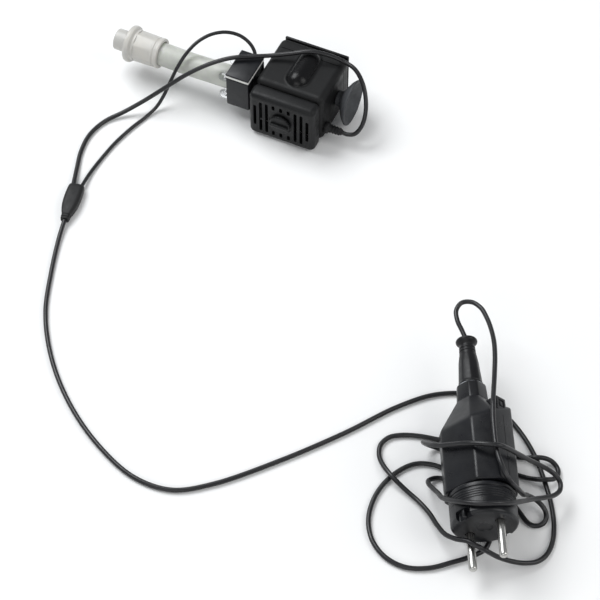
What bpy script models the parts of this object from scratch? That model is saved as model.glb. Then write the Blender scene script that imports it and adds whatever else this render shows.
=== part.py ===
"""A small submersible fountain pump with its light collar, hose, leads and plug-in supply.

The pump lies on its flat side: its outlet and hose run along -X, its rotor axis along Y,
its intake faces -Y and its suction foot +X. Metres, +Z up; the origin is at the middle of
the pump and hose, on the surface they lie on. The supply lies beside it, in its own frame.
"""

import math

import bmesh
import bpy
from mathutils import Matrix, Vector

GAP = 0.0003            # clearance between pieces that touch
CUT = 0.0005            # how far a cutter runs past the face it opens
ROUND = 28              # steps of a large turned piece
SMALL = 16              # steps of a small turned piece

# Pump frame: x along the outlet, y along the rotor, both measured from the housing's middle
PUMP_AT = Vector((0.0390, -0.0002, 0.0))
HOUSING_X = 0.020       # half length along the outlet
HOUSING_FRONT = -0.012
HOUSING_BACK = 0.024
HOUSING_H = 0.032
WALL = 0.0020

ROTOR = Vector((-0.005, 0.0, 0.016))
OUTLET_Y = -0.0052
OUTLET_Z = 0.019
CHAMBER_R = 0.0104
CHAMBER_END = -0.0015
SEAT_R = 0.0123
SEAT_DEPTH = 0.0032
WELL_R = 0.0060
WELL_END = 0.0165
WELL_WALL = 0.0010
SHAFT_R = 0.0010

PIPE_R = 0.0048
PIPE_BORE = 0.0034
HOSE_R = 0.0065
HOSE_BORE = 0.0051
HOSE_START = -0.0363
HOSE_END = -0.0890

LIGHT_BACK = -0.0223    # the collar's face towards the housing
LIGHT_FRONT = -0.0360
LIGHT_HALF = 0.0102
LED_R = 0.0025
LED_OFFSET = 0.0067     # from the outlet axis, both ways

# Supply frame: x towards the pins, y across the wide faces
SUPPLY_AT = Vector((0.2081, -0.1623, 0.0))
VIEW_TURN = math.radians(25)        # the floor frame of the supply and its cord against X
SUPPLY_ROLL = math.radians(45)
SUPPLY_YAW = math.radians(2.0)      # its pins turned to the right
SUPPLY_PITCH = math.radians(3.0)    # nose down
SUPPLY_MIDDLE = Vector((-0.0006, -0.0030, 0.0219))   # its origin (right, away, up)
FACE_X = 0.0530                     # the pin face, forward of the supply's own origin
DRUM_R = 0.0159
DRUM_LEN = 0.0165
BODY_HALF_W = 0.0174
BODY_HALF_H = 0.0146
BODY_CHAMFER = 0.0078
SHOULDER_X = -0.0035    # where the body is full on its axis
SHOULDER_LEAN = 0.443   # and how far forward that goes with each step up z
BODY_BACK = -0.0141
COLLAR_LEN = 0.0092
BOOT_LEN = 0.0268
PIN_R = 0.0020
PIN_LEN = 0.0190
PIN_SPACING = 0.0186

CORD_R = 0.0012
LEAD_R = 0.0010
MM = 0.001              # the routes below are in millimetres

# The splice, in the supply's floor frame (right, away, up) and its heading there
SPLICE_AT = (-0.2055, 0.1540, 0.0)
SPLICE_HEADING = (-0.22, -0.976)
SPLICE_HALF = Vector((0.0120, 0.0046, 0.0028))
SPLICE_ENTRY = 0.0023   # how far each of its two inlets lies to the side

# From the gland, up past the foot, over the housing and the light collar, down to the splice
PUMP_LEAD_ROUTE = [
    (33, -7.6, 8), (37, -6.8, 9.4), (39.6, -4, 13.5), (40, 0, 19), (38, 5, 25.5), (33.5, 10.5, 31.2),
    (27, 15, 34.6), (19.5, 17, 35.4), (10, 16.3, 37.2), (1, 13.5, 38.4), (-9, 9.5, 36.2), (-19, 5, 34.6),
    (-29, 0, 34.2), (-38, -5, 33.8), (-48, -11, 30.4), (-58, -17.5, 24.5), (-68, -24.5, 16.5),
    (-78, -32, 8.5), (-87, -40, 3), (-94, -49, 1.3), (-97, -61, 1.3), (-95.5, -74, 1.3),
    (-91.5, -86, 1.7),
]
# From the far side of the light collar, in an arch over the hose, to the splice
LIGHT_LEAD_ROUTE = [
    (-30, 8, 22.3), (-31.2, 11.6, 24), (-35, 14.5, 27), (-41.5, 15.2, 30.5), (-48.5, 12.5, 33),
    (-55, 7, 33.8), (-60, 0, 32.5), (-63.5, -7, 28.8), (-66.2, -13, 22.8), (-68.5, -18.3, 15.2),
    (-70.5, -23, 7.8), (-72.5, -28.5, 2.8), (-75, -36, 1.1), (-78.5, -47, 1.1), (-81.5, -60, 1.1),
    (-83, -73, 1.1), (-83.5, -86, 1.6),
]
# In the supply's floor frame: from the splice to the supply, wound round it, into its boot
SUPPLY_CORD_ROUTE = [
    # round to the front and in under the boot
    (-210.5, 130, 1.8), (-213, 108, 1.3), (-214, 82, 1.3), (-209, 54, 1.3), (-198, 26, 1.3),
    (-182, 1, 1.3), (-164, -17, 1.3), (-146, -24, 1.3), (-127, -21, 1.3), (-95, -8, 1.3),
    (-62, 8.6, 1.3), (-36, 23.8, 1.3), (-17, 31, 1.3), (0, 31, 1.3), (11, 24.8, 1.3),
    # forward on the right, and back to the left over the lower pin
    (19.5, 15, 1.3), (25.5, 4.8, 1.3), (30, -6.4, 1.3), (33.2, -19.4, 1.3), (35.4, -32.1, 1.3),
    (35.9, -44, 1.3), (34.4, -53.7, 1.3), (31, -60.6, 1.6), (26.3, -64.6, 2.6), (19.9, -66.4, 4.4),
    (13.2, -67, 7.4), (6.8, -66.8, 11.2), (2, -66.2, 15), (-2.6, -64.6, 17), (-7, -61.8, 16.8),
    (-11.8, -59.2, 14.2), (-16.6, -54.6, 10.8), (-20, -47.6, 7.6), (-23.2, -39.4, 4.8), (-27.8, -31.6, 2.6),
    (-32.9, -26.1, 2.6),
    (-37.3, -21.7, 3.6), (-40.9, -17.3, 4.1), (-44.2, -11, 2.6), (-45.9, -4.4, 1.3), (-45, 1.4, 1.3),
    (-41, 5.6, 1.3), (-35.4, 7, 1.3), (-27, 6.6, 1.3), (-18, 4.7, 1.3),
    # under the body, a narrow turn on the right, and back under it
    (-7, 2, 1.3), (6, -1.6, 1.3), (18, -5.2, 1.3), (24.4, -7, 2.4), (30.6, -7.9, 4.1), (34.2, -8.1, 3.6),
    (37.3, -9.1, 2.6), (39.5, -11.3, 1.7), (40.3, -14.3, 1.5), (39.5, -17.4, 2), (37.2, -19.6, 3.1),
    (33.9, -20.5, 4.1), (30.3, -20.2, 3.8), (26.4, -18.8, 2.4),
    (19, -15.6, 1.3), (8, -10.8, 1.3), (-4, -6, 1.3), (-12, -2.6, 1.3),
    # up round the left side, over the body, and a wide turn on the right
    (-18, -0.6, 1.8), (-22, -0.7, 4.4), (-24.4, -2.4, 8.8), (-25, -5.4, 13.8), (-24.2, -9.4, 19),
    (-21.8, -13.2, 23.8), (-18.2, -16.2, 27.8), (-14, -18.4, 31.8), (-9.2, -20.8, 36.4), (-4.9, -22.8, 39.8),
    (-0.5, -24.3, 41.8), (3.8, -25.4, 42.7), (8.2, -25.7, 42.3), (12.8, -24.9, 38), (17.9, -23.7, 31.6),
    (23.5, -22.5, 24.8), (28.8, -21.6, 19.2), (33.6, -21.6, 14.8), (37.4, -23.2, 12), (39.4, -26.6, 10.6),
    (38.9, -30.4, 10.4), (36, -34, 12), (31.2, -37.4, 15.4), (25.4, -40.9, 19.8), (20.4, -44.8, 24.6),
    # over the drum near the pin face, down the left side, and under again to the front
    (16.4, -48.2, 29), (12.2, -51.3, 33.2), (7.2, -53.2, 36.4), (2.2, -53.9, 37.4), (-2.7, -53.7, 37),
    (-7.2, -52.4, 35.4), (-11.4, -49.9, 32.2), (-15.4, -46, 27.4), (-18.2, -41, 21.4), (-19.4, -35, 15.6),
    (-21.4, -29.4, 10.8), (-22.9, -24.4, 6.8), (-22.6, -20.4, 3.4), (-19.2, -17.9, 1.5), (-13.6, -18.6, 1.3),
    (-6.5, -24.4, 1.3), (-0.5, -33, 1.3), (4, -43, 1.3), (5.2, -50.8, 1.3), (2.6, -57, 1.3),
    # a wide bow on the left, under the body once more, and a small loop beside the drum
    (-4, -60.9, 1.3), (-13, -64, 1.3), (-24, -67.1, 1.3), (-35, -66.7, 1.3), (-44, -61.7, 1.3),
    (-50, -53.1, 1.3), (-52, -42.6, 1.3), (-50, -31.7, 1.3), (-44.8, -21.7, 1.3), (-36.4, -13.4, 1.3),
    (-28.4, -9.6, 1.3), (-20.6, -10, 1.3), (-11.2, -14.1, 1.3), (-0.6, -19.8, 1.3), (9.2, -25.6, 1.3),
    (16.6, -31.6, 1.3), (20.4, -37.6, 1.3), (22.9, -41.9, 1.3), (25.2, -44, 1.3), (28.1, -44.5, 1.3),
    (30.9, -43.2, 1.4), (32.4, -40.4, 1.8), (32.1, -37.2, 3), (29.8, -34.7, 5.2), (26.6, -33.8, 8.4),
    (23.2, -34.6, 12.6),
    (21.5, -37.6, 18),
    # up the drum's right side, back along the top, and round into the boot
    (19.6, -40.4, 23), (16.4, -41.4, 29.8), (12.8, -41, 35.2), (10.2, -38.2, 38.3), (8.6, -34, 39.6),
    (7.3, -29, 39.9), (6.6, -22.4, 39.9), (6.3, -15, 40.2), (6.3, -8, 40.7), (6.7, -1, 40.6),
    (7.7, 8.2, 38.8), (8.9, 18.9, 36.6), (9.9, 29.9, 35), (10.2, 39.9, 33.2), (9.4, 49.3, 31.4),
    (7.8, 57.4, 29.9), (5.4, 64, 28.9), (1.2, 68, 28.3), (-3.7, 68, 27.8), (-6.6, 64, 27.2),
    (-6.4, 58.4, 26.4), (-4.2, 52.6, 25.3),
]


# ---------------------------------------------------------------- scene and materials

def clear():
    for old in list(bpy.data.objects):
        bpy.data.objects.remove(old)


def collection(name):
    made = bpy.data.collections.new(name)
    bpy.context.scene.collection.children.link(made)
    return made


def material(name, colour, roughness, metallic=0.0, transmission=0.0):
    made = bpy.data.materials.new(name)
    made.use_nodes = True
    shader = made.node_tree.nodes["Principled BSDF"]
    shader.inputs["Base Color"].default_value = (*colour, 1.0)
    shader.inputs["Roughness"].default_value = roughness
    shader.inputs["Metallic"].default_value = metallic
    shader.inputs["Transmission Weight"].default_value = transmission
    return made


clear()
PARTS = collection("fountain_pump")
CUTTERS = collection("cutters")

BLACK = material("black_plastic", (0.030, 0.031, 0.034), 0.42)
GREY_RUBBER = material("grey_rubber", (0.16, 0.165, 0.17), 0.75)
BLACK_RUBBER = material("black_rubber", (0.018, 0.018, 0.020), 0.60)
SATIN = material("supply_plastic", (0.020, 0.021, 0.024), 0.38)
CORD = material("cord_jacket", (0.020, 0.020, 0.022), 0.40)
MILKY = material("milky_hose", (0.62, 0.64, 0.55), 0.40)
WHITE = material("white_plastic", (0.78, 0.77, 0.72), 0.45)
CLEAR = material("clear_lamp", (0.92, 0.94, 0.95), 0.08, 0.0, 0.9)
STEEL = material("pin_metal", (0.72, 0.71, 0.69), 0.22, 1.0)
CERAMIC = material("shaft_ceramic", (0.85, 0.84, 0.80), 0.25)
MAGNET = material("magnet", (0.10, 0.10, 0.105), 0.55, 0.3)
CORE = material("core_steel", (0.35, 0.35, 0.37), 0.45, 0.9)
COPPER = material("winding_copper", (0.62, 0.30, 0.16), 0.35, 0.9)
NYLON = material("nylon", (0.55, 0.55, 0.50), 0.5)
BOARD = material("circuit_board", (0.04, 0.22, 0.10), 0.5)
EPOXY = material("epoxy", (0.025, 0.024, 0.024), 0.3)

PUMP = bpy.data.objects.new("pump_frame", None)
PUMP.location = PUMP_AT
SUPPLY = bpy.data.objects.new("supply_frame", None)
for empty in (PUMP, SUPPLY):
    PARTS.objects.link(empty)
# pins forward: local +x turns to -Y and then by the view turn, pitched down and rolled about itself
SUPPLY.matrix_world = (
    Matrix.Translation(SUPPLY_AT)
    @ Matrix.Rotation(VIEW_TURN, 4, "Z")
    @ Matrix.Translation(SUPPLY_MIDDLE)
    @ Matrix.Rotation(SUPPLY_YAW - math.pi / 2, 4, "Z")
    @ Matrix.Rotation(SUPPLY_PITCH, 4, "Y")
    @ Matrix.Rotation(SUPPLY_ROLL, 4, "X")
)


# ---------------------------------------------------------------- making shapes

AXES = {
    "X": Matrix.Rotation(math.pi / 2, 4, "Y"),
    "Y": Matrix.Rotation(-math.pi / 2, 4, "X"),
    "Z": Matrix.Identity(4),
}


def place(mesh, name, parent, skin=None, smooth=True):
    made = bpy.data.objects.new(name, mesh)
    if skin is None:
        CUTTERS.objects.link(made)
        made.hide_render = True
        made.display_type = "WIRE"
    else:
        PARTS.objects.link(made)
        mesh.materials.clear()
        mesh.materials.append(skin)
    made.parent = parent
    if smooth:
        mesh.shade_smooth()
        mesh.set_sharp_from_angle(angle=math.radians(35))
    return made


def block(name, low, high, parent, skin=None, bevel=0.0, segments=2):
    """A box between two corners, with all its edges rounded if bevel is given."""
    low, high = Vector(low), Vector(high)
    build = bmesh.new()
    bmesh.ops.create_cube(build, size=1.0)
    size = high - low
    bmesh.ops.scale(build, vec=size, verts=build.verts)
    mesh = bpy.data.meshes.new(name)
    build.to_mesh(mesh)
    build.free()
    made = place(mesh, name, parent, skin, smooth=bevel > 0)
    made.location = (low + high) / 2
    if bevel:
        rounding = made.modifiers.new("rounding", "BEVEL")
        rounding.width = bevel
        rounding.segments = segments
        rounding.limit_method = "ANGLE"
    return made


def turned(name, profile, axis, at, parent, skin=None, steps=ROUND):
    """A Screw-turned piece: profile holds (radius, distance along the axis), far end first."""
    mesh = bpy.data.meshes.new(name)
    closed = profile[0] == profile[-1]
    points = profile[:-1] if closed else profile
    edges = [(i, i + 1) for i in range(len(points) - 1)]
    if closed:
        edges.append((len(points) - 1, 0))
    mesh.from_pydata([(r, 0.0, h) for r, h in points], edges, [])
    made = place(mesh, name, parent, skin)
    made.matrix_local = Matrix.Translation(Vector(at)) @ AXES[axis]
    screw = made.modifiers.new("turn", "SCREW")
    screw.steps = steps
    screw.render_steps = steps
    screw.use_merge_vertices = True
    screw.merge_threshold = 0.00001
    screw.use_smooth_shade = True
    return made


def rod(name, radius, start, end, axis, at, parent, skin=None, steps=ROUND, edge=0.0):
    """A solid cylinder from start to end along an axis, with an optional edge chamfer."""
    profile = [(0, end), (radius - edge, end), (radius, end - edge), (radius, start + edge),
               (radius - edge, start), (0, start)]
    if not edge:
        profile = [(0, end), (radius, end), (radius, start), (0, start)]
    return turned(name, profile, axis, at, parent, skin, steps)


def ring(name, outer, inner, start, end, axis, at, parent, skin=None, steps=ROUND):
    """A plain tube from start to end along an axis."""
    profile = [(outer, end), (outer, start), (inner, start), (inner, end), (outer, end)]
    return turned(name, profile, axis, at, parent, skin, steps)


def swing(made, centre, turn):
    """Turn a block about the rotor's line, keeping where it was put."""
    made.matrix_local = (Matrix.Translation(centre) @ Matrix.Rotation(turn, 4, "Y")
                         @ Matrix.Translation(made.location))


def combine(target, other, operation):
    step = target.modifiers.new(other.name, "BOOLEAN")
    step.operation = operation
    step.solver = "EXACT"
    step.object = other
    return target


def cut(target, *cutters):
    for cutter in cutters:
        combine(target, cutter, "DIFFERENCE")
    return target


def join(target, *others):
    for other in others:
        combine(target, other, "UNION")
    return target


def arc(centre, radius, first, last, count):
    """Points (radius, height) on a circle in a turned profile, angles in degrees from +height."""
    points = []
    for i in range(count + 1):
        angle = math.radians(first + (last - first) * i / count)
        points.append((centre[0] + radius * math.sin(angle), centre[1] + radius * math.cos(angle)))
    return points


def octagon(x, half_w, half_h, chamfer):
    """The eight corners of a chamfered rectangle across the supply's axis."""
    flat_w, flat_h = half_w - chamfer, half_h - chamfer
    quarter = [(half_w, -flat_h), (half_w, flat_h), (flat_w, half_h), (-flat_w, half_h)]
    return [(x, y, z) for y, z in quarter] + [(x, -y, -z) for y, z in quarter]


def loft(name, sections, parent, skin=None):
    """A closed solid through octagonal sections, first to last along +x."""
    build = bmesh.new()
    loops = [[build.verts.new(p) for p in section] for section in sections]
    for back, front in zip(loops, loops[1:]):
        for i in range(8):
            j = (i + 1) % 8
            build.faces.new((back[i], back[j], front[j], front[i]))
    build.faces.new(loops[-1])
    build.faces.new(list(reversed(loops[0])))
    bmesh.ops.connect_verts_nonplanar(build, angle_limit=0.001, faces=build.faces)
    bmesh.ops.recalc_face_normals(build, faces=build.faces)
    mesh = bpy.data.meshes.new(name)
    build.to_mesh(mesh)
    build.free()
    return place(mesh, name, parent, skin, smooth=False)


# ---------------------------------------------------------------- pump housing and motor

def motor_housing():
    body = block("motor_housing", (-HOUSING_X, HOUSING_FRONT, 0), (HOUSING_X, HOUSING_BACK, HOUSING_H),
                 PUMP, BLACK, bevel=0.0035, segments=3)
    boss = rod("boss", 0.0064, -0.0220, -0.0150, "X", (0, OUTLET_Y, OUTLET_Z), PUMP)
    bulge_r = 0.0072
    near, far = -0.0018, 0.0128
    bulge = turned("bulge", arc((0, far), bulge_r, 0, 90, 5) + arc((0, near), bulge_r, 90, 180, 5),
                   "Y", (0.001, 0, HOUSING_H - 0.0027), PUMP)
    join(body, boss, bulge)
    seat_end = HOUSING_FRONT + SEAT_DEPTH
    wet_room = turned("wet_room", [(0, WELL_END), (WELL_R, WELL_END), (WELL_R, CHAMBER_END),
                                   (CHAMBER_R, CHAMBER_END), (CHAMBER_R, seat_end), (SEAT_R, seat_end),
                                   (SEAT_R, HOUSING_FRONT - CUT), (0, HOUSING_FRONT - CUT)],
                      "Y", ROTOR, PUMP)
    rear = block("rear_room", (-HOUSING_X + WALL, 0.0010, WALL),
                 (0.0152, HOUSING_BACK + CUT, HOUSING_H - WALL), PUMP)
    sleeve = rod("well_sleeve", WELL_R + WELL_WALL, -0.0010, WELL_END + 0.0013, "Y", ROTOR, PUMP)
    cut(rear, sleeve)
    inside, step, mouth = ROTOR.x - 0.0040, -0.0177, -0.0225
    duct = turned("duct", [(0, inside), (PIPE_BORE, inside), (PIPE_BORE, step), (PIPE_R + GAP, step),
                           (PIPE_R + GAP, mouth), (0, mouth)], "X", (0, OUTLET_Y, OUTLET_Z), PUMP)
    foot_hole = rod("foot_hole", 0.0036, 0.0166, HOUSING_X + CUT, "X", (0, 0.008, 0.016), PUMP, steps=18)
    gland_hole = rod("gland_hole", 0.0028, 0.0145, HOUSING_X + CUT, "X", (0, -0.0075, 0.008), PUMP,
                     steps=18)
    return cut(body, foot_hole, gland_hole, wet_room, rear, duct)


def motor_parts():
    cover = block("rear_cover", (-0.0190, HOUSING_BACK + GAP, 0.0010),
                  (0.0190, HOUSING_BACK + 0.0020, HOUSING_H - 0.0010), PUMP, BLACK, bevel=0.0008)
    potting = block("potting", (-0.0177, 0.0200, 0.0023), (0.0149, HOUSING_BACK - GAP, 0.0297), PUMP, EPOXY)
    # a U of steel sheets: two legs beside the well, and a yoke that carries the coil
    stack_front, stack_back = 0.0040, 0.0140
    core = block("stator_core", (-0.0120, stack_front, 0.0045), (0.0107, stack_back, 0.0275), PUMP, CORE)
    slot = block("core_slot", (-0.0125, stack_front - CUT, 0.0085), (0.0067, stack_back + CUT, 0.0235), PUMP)
    cut(core, slot)
    former = block("coil_former", (0.0030, 0.0013, 0.0089), (0.0144, 0.0167, 0.0231), PUMP, NYLON)
    waist = ring_box("former_waist", 0.0087, 0.0090, (0.0032, 0.0062), (0.0065, 0.0085), 0.0099, 0.0221)
    hole = block("former_hole", (0.0064, 0.0037, 0.0080), (0.0110, 0.0143, 0.0240), PUMP)
    cut(former, waist, hole)
    coil = ring_box("coil", 0.0087, 0.0090, (0.0035, 0.0065), (0.0055, 0.0075), 0.0102, 0.0218, COPPER)
    return cover, potting, core, former, coil


def ring_box(name, x, y, inner, outer, low, high, skin=None):
    """A rectangular tube round a vertical line: inner and outer are half sizes in x and y."""
    tube = block(name, (x - outer[0], y - outer[1], low), (x + outer[0], y + outer[1], high), PUMP, skin)
    hole = block(name + "_hole", (x - inner[0], y - inner[1], low - CUT),
                 (x + inner[0], y + inner[1], high + CUT), PUMP)
    return cut(tube, hole)


def rotor_parts():
    at = ROTOR
    turned("motor_shaft", [(0, 0.0160), (0.0008, 0.0160), (SHAFT_R, 0.0157), (SHAFT_R, -0.0109),
                           (0.0008, -0.0112), (0, -0.0112)], "Y", at, PUMP, CERAMIC, SMALL)
    ring("rear_bushing", 0.0030, 0.0013, 0.0139, 0.0162, "Y", at, PUMP, BLACK_RUBBER, SMALL)
    ring("front_bushing", 0.0022, 0.0013, -0.0114, -0.0096, "Y", at, PUMP, BLACK_RUBBER, SMALL)
    ring("rotor_magnet", 0.0055, 0.0026, -0.0008, 0.0132, "Y", at, PUMP, MAGNET)
    profile = [(0.0022, 0.0134), (0.0022, -0.0012), (0.0030, -0.0012), (0.0030, -0.0022), (0.0082, -0.0022),
               (0.0082, -0.0031), (0.0030, -0.0031), (0.0030, -0.0082), (0.0013, -0.0082), (0.0013, 0.0134),
               (0.0022, 0.0134)]
    hub = turned("impeller", profile, "Y", at, PUMP, WHITE)
    blades = 6
    for i in range(blades):
        turn = 2 * math.pi * i / blades
        blade = block(f"blade_{i}", (0.0026, -0.0078, -0.0005), (0.0081, -0.0027, 0.0005), PUMP)
        swing(blade, at, turn)
        join(hub, blade)


def chamber_parts():
    at = ROTOR
    plate = ring("chamber_cover", SEAT_R - GAP, 0.0060, -0.0120, -0.0106, "Y", at, PUMP, BLACK)
    hub = ring("cover_hub", 0.0034, 0.0025, -0.0120, -0.0096, "Y", at, PUMP, steps=SMALL)
    join(plate, hub)
    spokes = 3
    for i in range(spokes):
        turn = 2 * math.pi * i / spokes
        spoke = block(f"spoke_{i}", (0.0029, -0.0119, -0.0007), (0.0064, -0.0107, 0.0007), PUMP)
        swing(spoke, at, turn)
        join(plate, spoke)
    seal = arc((0.0114, -0.0097), 0.0006, 90, 450, 8)
    seal[-1] = seal[0]
    turned("chamber_seal", seal, "Y", at, PUMP, BLACK_RUBBER)


def intake_cover():
    front, back = -0.0220, HOUSING_FRONT - GAP
    shell = block("intake_cover", (-0.0194, front, 0.0006), (0.0194, back, 0.0314), PUMP, BLACK,
                  bevel=0.0030, segments=3)
    room = block("intake_room", (-0.0178, front + 0.0015, 0.0022), (0.0178, back + 0.004, 0.0298), PUMP)
    cut(shell, room)
    slots = [-0.0155, -0.0120, -0.0085, 0.0085, 0.0120, 0.0155]
    for i, x in enumerate(slots):
        inset = 0.0035 if abs(x) > 0.0150 else 0.0
        slit = block(f"slit_{i}", (x - 0.0009, front - CUT, 0.0050 + inset),
                     (x + 0.0009, front + 0.0020, 0.0270 - inset), PUMP)
        cut(shell, slit)
    for i, x in enumerate((-0.0045, 0.0, 0.0045)):
        for j, (low, high) in enumerate(((0.0045, 0.0078), (0.0242, 0.0275))):
            slit = block(f"short_slit_{i}{j}", (x - 0.0009, front - CUT, low),
                         (x + 0.0009, front + 0.0020, high), PUMP)
            cut(shell, slit)
    stem_hole = rod("stem_hole", 0.0025, front - CUT, front + 0.0030, "Y", (0, 0, 0.016), PUMP, steps=SMALL)
    return cut(shell, stem_hole)


def flow_regulator():
    knob = turned("flow_regulator", [(0, -0.0192), (0.0074, -0.0192), (0.0074, -0.0202), (0.0022, -0.0202),
                                     (0.0022, -0.0223), (0.0056, -0.0223), (0.0060, -0.0227),
                                     (0.0060, -0.0236), (0.0055, -0.0241), (0, -0.0241)],
                  "Y", (0, 0, 0.016), PUMP, BLACK)
    grip = block("grip", (-0.0052, -0.0256, 0.0150), (0.0052, -0.0238, 0.0170), PUMP, bevel=0.0005)
    join(knob, grip)
    for i, side in enumerate((-1, 1)):
        port = block(f"port_{i}", (side * 0.0049 - 0.0016, -0.0206, 0.0130),
                     (side * 0.0049 + 0.0016, -0.0188, 0.0190), PUMP)
        cut(knob, port)
    return knob


def suction_foot():
    face = HOUSING_X
    profile = [(0, face + 0.0056), (0.0045, face + 0.0060), (0.0105, face + 0.0086), (0.0124, face + 0.0096),
               (0.0130, face + 0.0094), (0.0130, face + 0.0086), (0.0108, face + 0.0066),
               (0.0066, face + 0.0042), (0.0044, face + 0.0026), (0.0044, face + GAP), (0.0033, face + GAP),
               (0.0033, face - 0.0030), (0, face - 0.0030)]
    return turned("suction_foot", profile, "X", (0, 0.008, 0.016), PUMP, GREY_RUBBER)


def cord_gland():
    face = HOUSING_X
    profile = [(0, face + 0.0100), (0.0017, face + 0.0100), (0.0020, face + 0.0095), (0.0024, face + 0.0025),
               (0.0034, face + 0.0020), (0.0034, face + GAP), (0.0025, face + GAP), (0.0025, face - 0.0050),
               (0, face - 0.0050)]
    return turned("cord_gland", profile, "X", (0, -0.0075, 0.008), PUMP, BLACK_RUBBER, SMALL)


# ---------------------------------------------------------------- light collar, hose and fitting

def light_collar():
    y, z, half = OUTLET_Y, OUTLET_Z, LIGHT_HALF
    base = block("light_base", (LIGHT_FRONT, y - half, z - half), (LIGHT_BACK, y + half, z + 0.0100), PUMP,
                 BLACK, bevel=0.0006)
    bore = rod("light_bore", PIPE_R + GAP, LIGHT_FRONT - CUT, LIGHT_BACK + CUT, "X", (0, y, z), PUMP)
    room = block("board_room", (-0.0252, y - half + 0.0012, z - half + 0.0012),
                 (LIGHT_BACK + CUT, y + half - 0.0012, z + 0.0088), PUMP)
    cut(base, bore, room)
    board = block("light_board", (-0.0242, y - half + 0.0016, z - half + 0.0016),
                  (-0.0230, y + half - 0.0016, z + 0.0084), PUMP, BOARD)
    cut(board, rod("board_bore", PIPE_R + 0.0006, -0.0250, -0.0220, "X", (0, y, z), PUMP))
    number = 1
    for up in (1, -1):
        for side in (1, -1):
            at = (0, y + side * LED_OFFSET, z + up * LED_OFFSET)
            cut(base, rod(f"lamp_hole_{number}", LED_R + GAP, LIGHT_FRONT - CUT, -0.0245, "X", at, PUMP,
                          steps=SMALL))
            dome = [(r, h) for r, h in arc((0, -0.0390), LED_R, 90, 180, 4)]
            turned(f"lamp_{number}", [(0, -0.0246), (LED_R, -0.0246)] + dome, "X", at, PUMP, CLEAR, SMALL)
            number += 1
    wire_hole = rod("wire_hole", LEAD_R + 0.0004, y + half - 0.0040, y + half + CUT, "Y",
                    (-0.0300, 0, z + 0.0030), PUMP, steps=8)
    cut(base, wire_hole)
    block("light_seal", (LIGHT_FRONT + 0.0001, y - half + 0.0001, z + 0.0103),
          (LIGHT_BACK - 0.0001, y + half - 0.0001, z + 0.0115), PUMP, WHITE)
    block("light_lid", (LIGHT_FRONT, y - half, z + 0.0118), (LIGHT_BACK, y + half, z + 0.0130), PUMP, BLACK,
          bevel=0.0003, segments=1)


def outlet_and_hose():
    at = (0, OUTLET_Y, OUTLET_Z)
    barb = PIPE_R - 0.0004
    profile = [(PIPE_R, -0.0180), (PIPE_R, -0.0370), (barb, -0.0372), (PIPE_R, -0.0405), (barb, -0.0407),
               (PIPE_R, -0.0440), (barb, -0.0442), (barb, -0.0480), (PIPE_BORE, -0.0480),
               (PIPE_BORE, -0.0180), (PIPE_R, -0.0180)]
    turned("outlet_pipe", profile, "X", at, PUMP, BLACK)
    ring("hose", HOSE_R, HOSE_BORE, HOSE_END, HOSE_START, "X", at, PUMP, MILKY)
    mouth, tail = -0.0800, -0.1080
    fitting = [(0.0083, mouth), (0.0086, mouth - 0.0006), (0.0088, -0.0968), (0.0103, -0.0978),
               (0.0105, -0.0988), (0.0102, -0.1000), (0.0062, -0.1000), (0.0060, tail), (0.0046, tail),
               (0.0046, -0.0894), (HOSE_R + GAP, -0.0893), (HOSE_R + GAP, mouth), (0.0083, mouth)]
    turned("lid_fitting", fitting, "X", at, PUMP, WHITE)


# ---------------------------------------------------------------- plug-in supply

def body_section(x, shrink=0.0, lean=0.0):
    corners = octagon(x, BODY_HALF_W - shrink, BODY_HALF_H - shrink, BODY_CHAMFER - 0.586 * shrink)
    return [(x + lean * z, y, z) for x, y, z in corners]


def supply_shells():
    drum_back = FACE_X - DRUM_LEN
    collar = 0.0070
    outer = [octagon(BODY_BACK - COLLAR_LEN, collar - 0.0004, collar - 0.0006, 0.0030),
             octagon(BODY_BACK, collar, collar - 0.0002, 0.0030),
             body_section(SHOULDER_X, 0.0, SHOULDER_LEAN), body_section(drum_back - GAP)]
    rear = loft("supply_rear_shell", outer, SUPPLY, SATIN)
    # a screw lug fills the corner beside the shoulder on one narrow side
    join(rear, block("shoulder_lug", (-0.0098, 0.0090, -0.0033), (-0.0010, 0.0172, 0.0033), SUPPLY))
    thick = 0.0022
    inner = [octagon(BODY_BACK + 0.0020, 0.0050, 0.0046, 0.0015),
             body_section(SHOULDER_X + 0.0010, thick, SHOULDER_LEAN), body_section(drum_back + CUT, thick)]
    cut(rear, loft("rear_shell_room", inner, SUPPLY))

    face = FACE_X
    profile = [(0, face), (DRUM_R - 0.0012, face), (DRUM_R, face - 0.0012), (DRUM_R, drum_back),
               (0.0125, drum_back), (0.0125, face - 0.0035), (0, face - 0.0035)]
    front = turned("supply_front_shell", profile, "X", (0, 0, 0), SUPPLY, SATIN, 36)
    for i, side in enumerate((-1, 1)):
        y = side * PIN_SPACING / 2
        cut(front, rod(f"pin_hole_{i}", PIN_R + GAP, face - 0.0050, face + CUT, "X", (0, y, 0), SUPPLY,
                       steps=SMALL))
        recess = block(f"notch_{i}", (face - 0.0040, -0.0042, side * 0.0150 - 0.0021),
                       (face + CUT, 0.0042, side * 0.0150 + 0.0021), SUPPLY)
        cut(front, recess)
        pin = [(0, face + PIN_LEN), (0.0008, face + PIN_LEN - 0.0001), (0.0016, face + PIN_LEN - 0.0007),
               (PIN_R, face + PIN_LEN - 0.0019), (PIN_R, face - 0.0045), (0, face - 0.0045)]
        turned(("pin_left", "pin_right")[i], pin, "X", (0, y, 0), SUPPLY, STEEL, SMALL)


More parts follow.
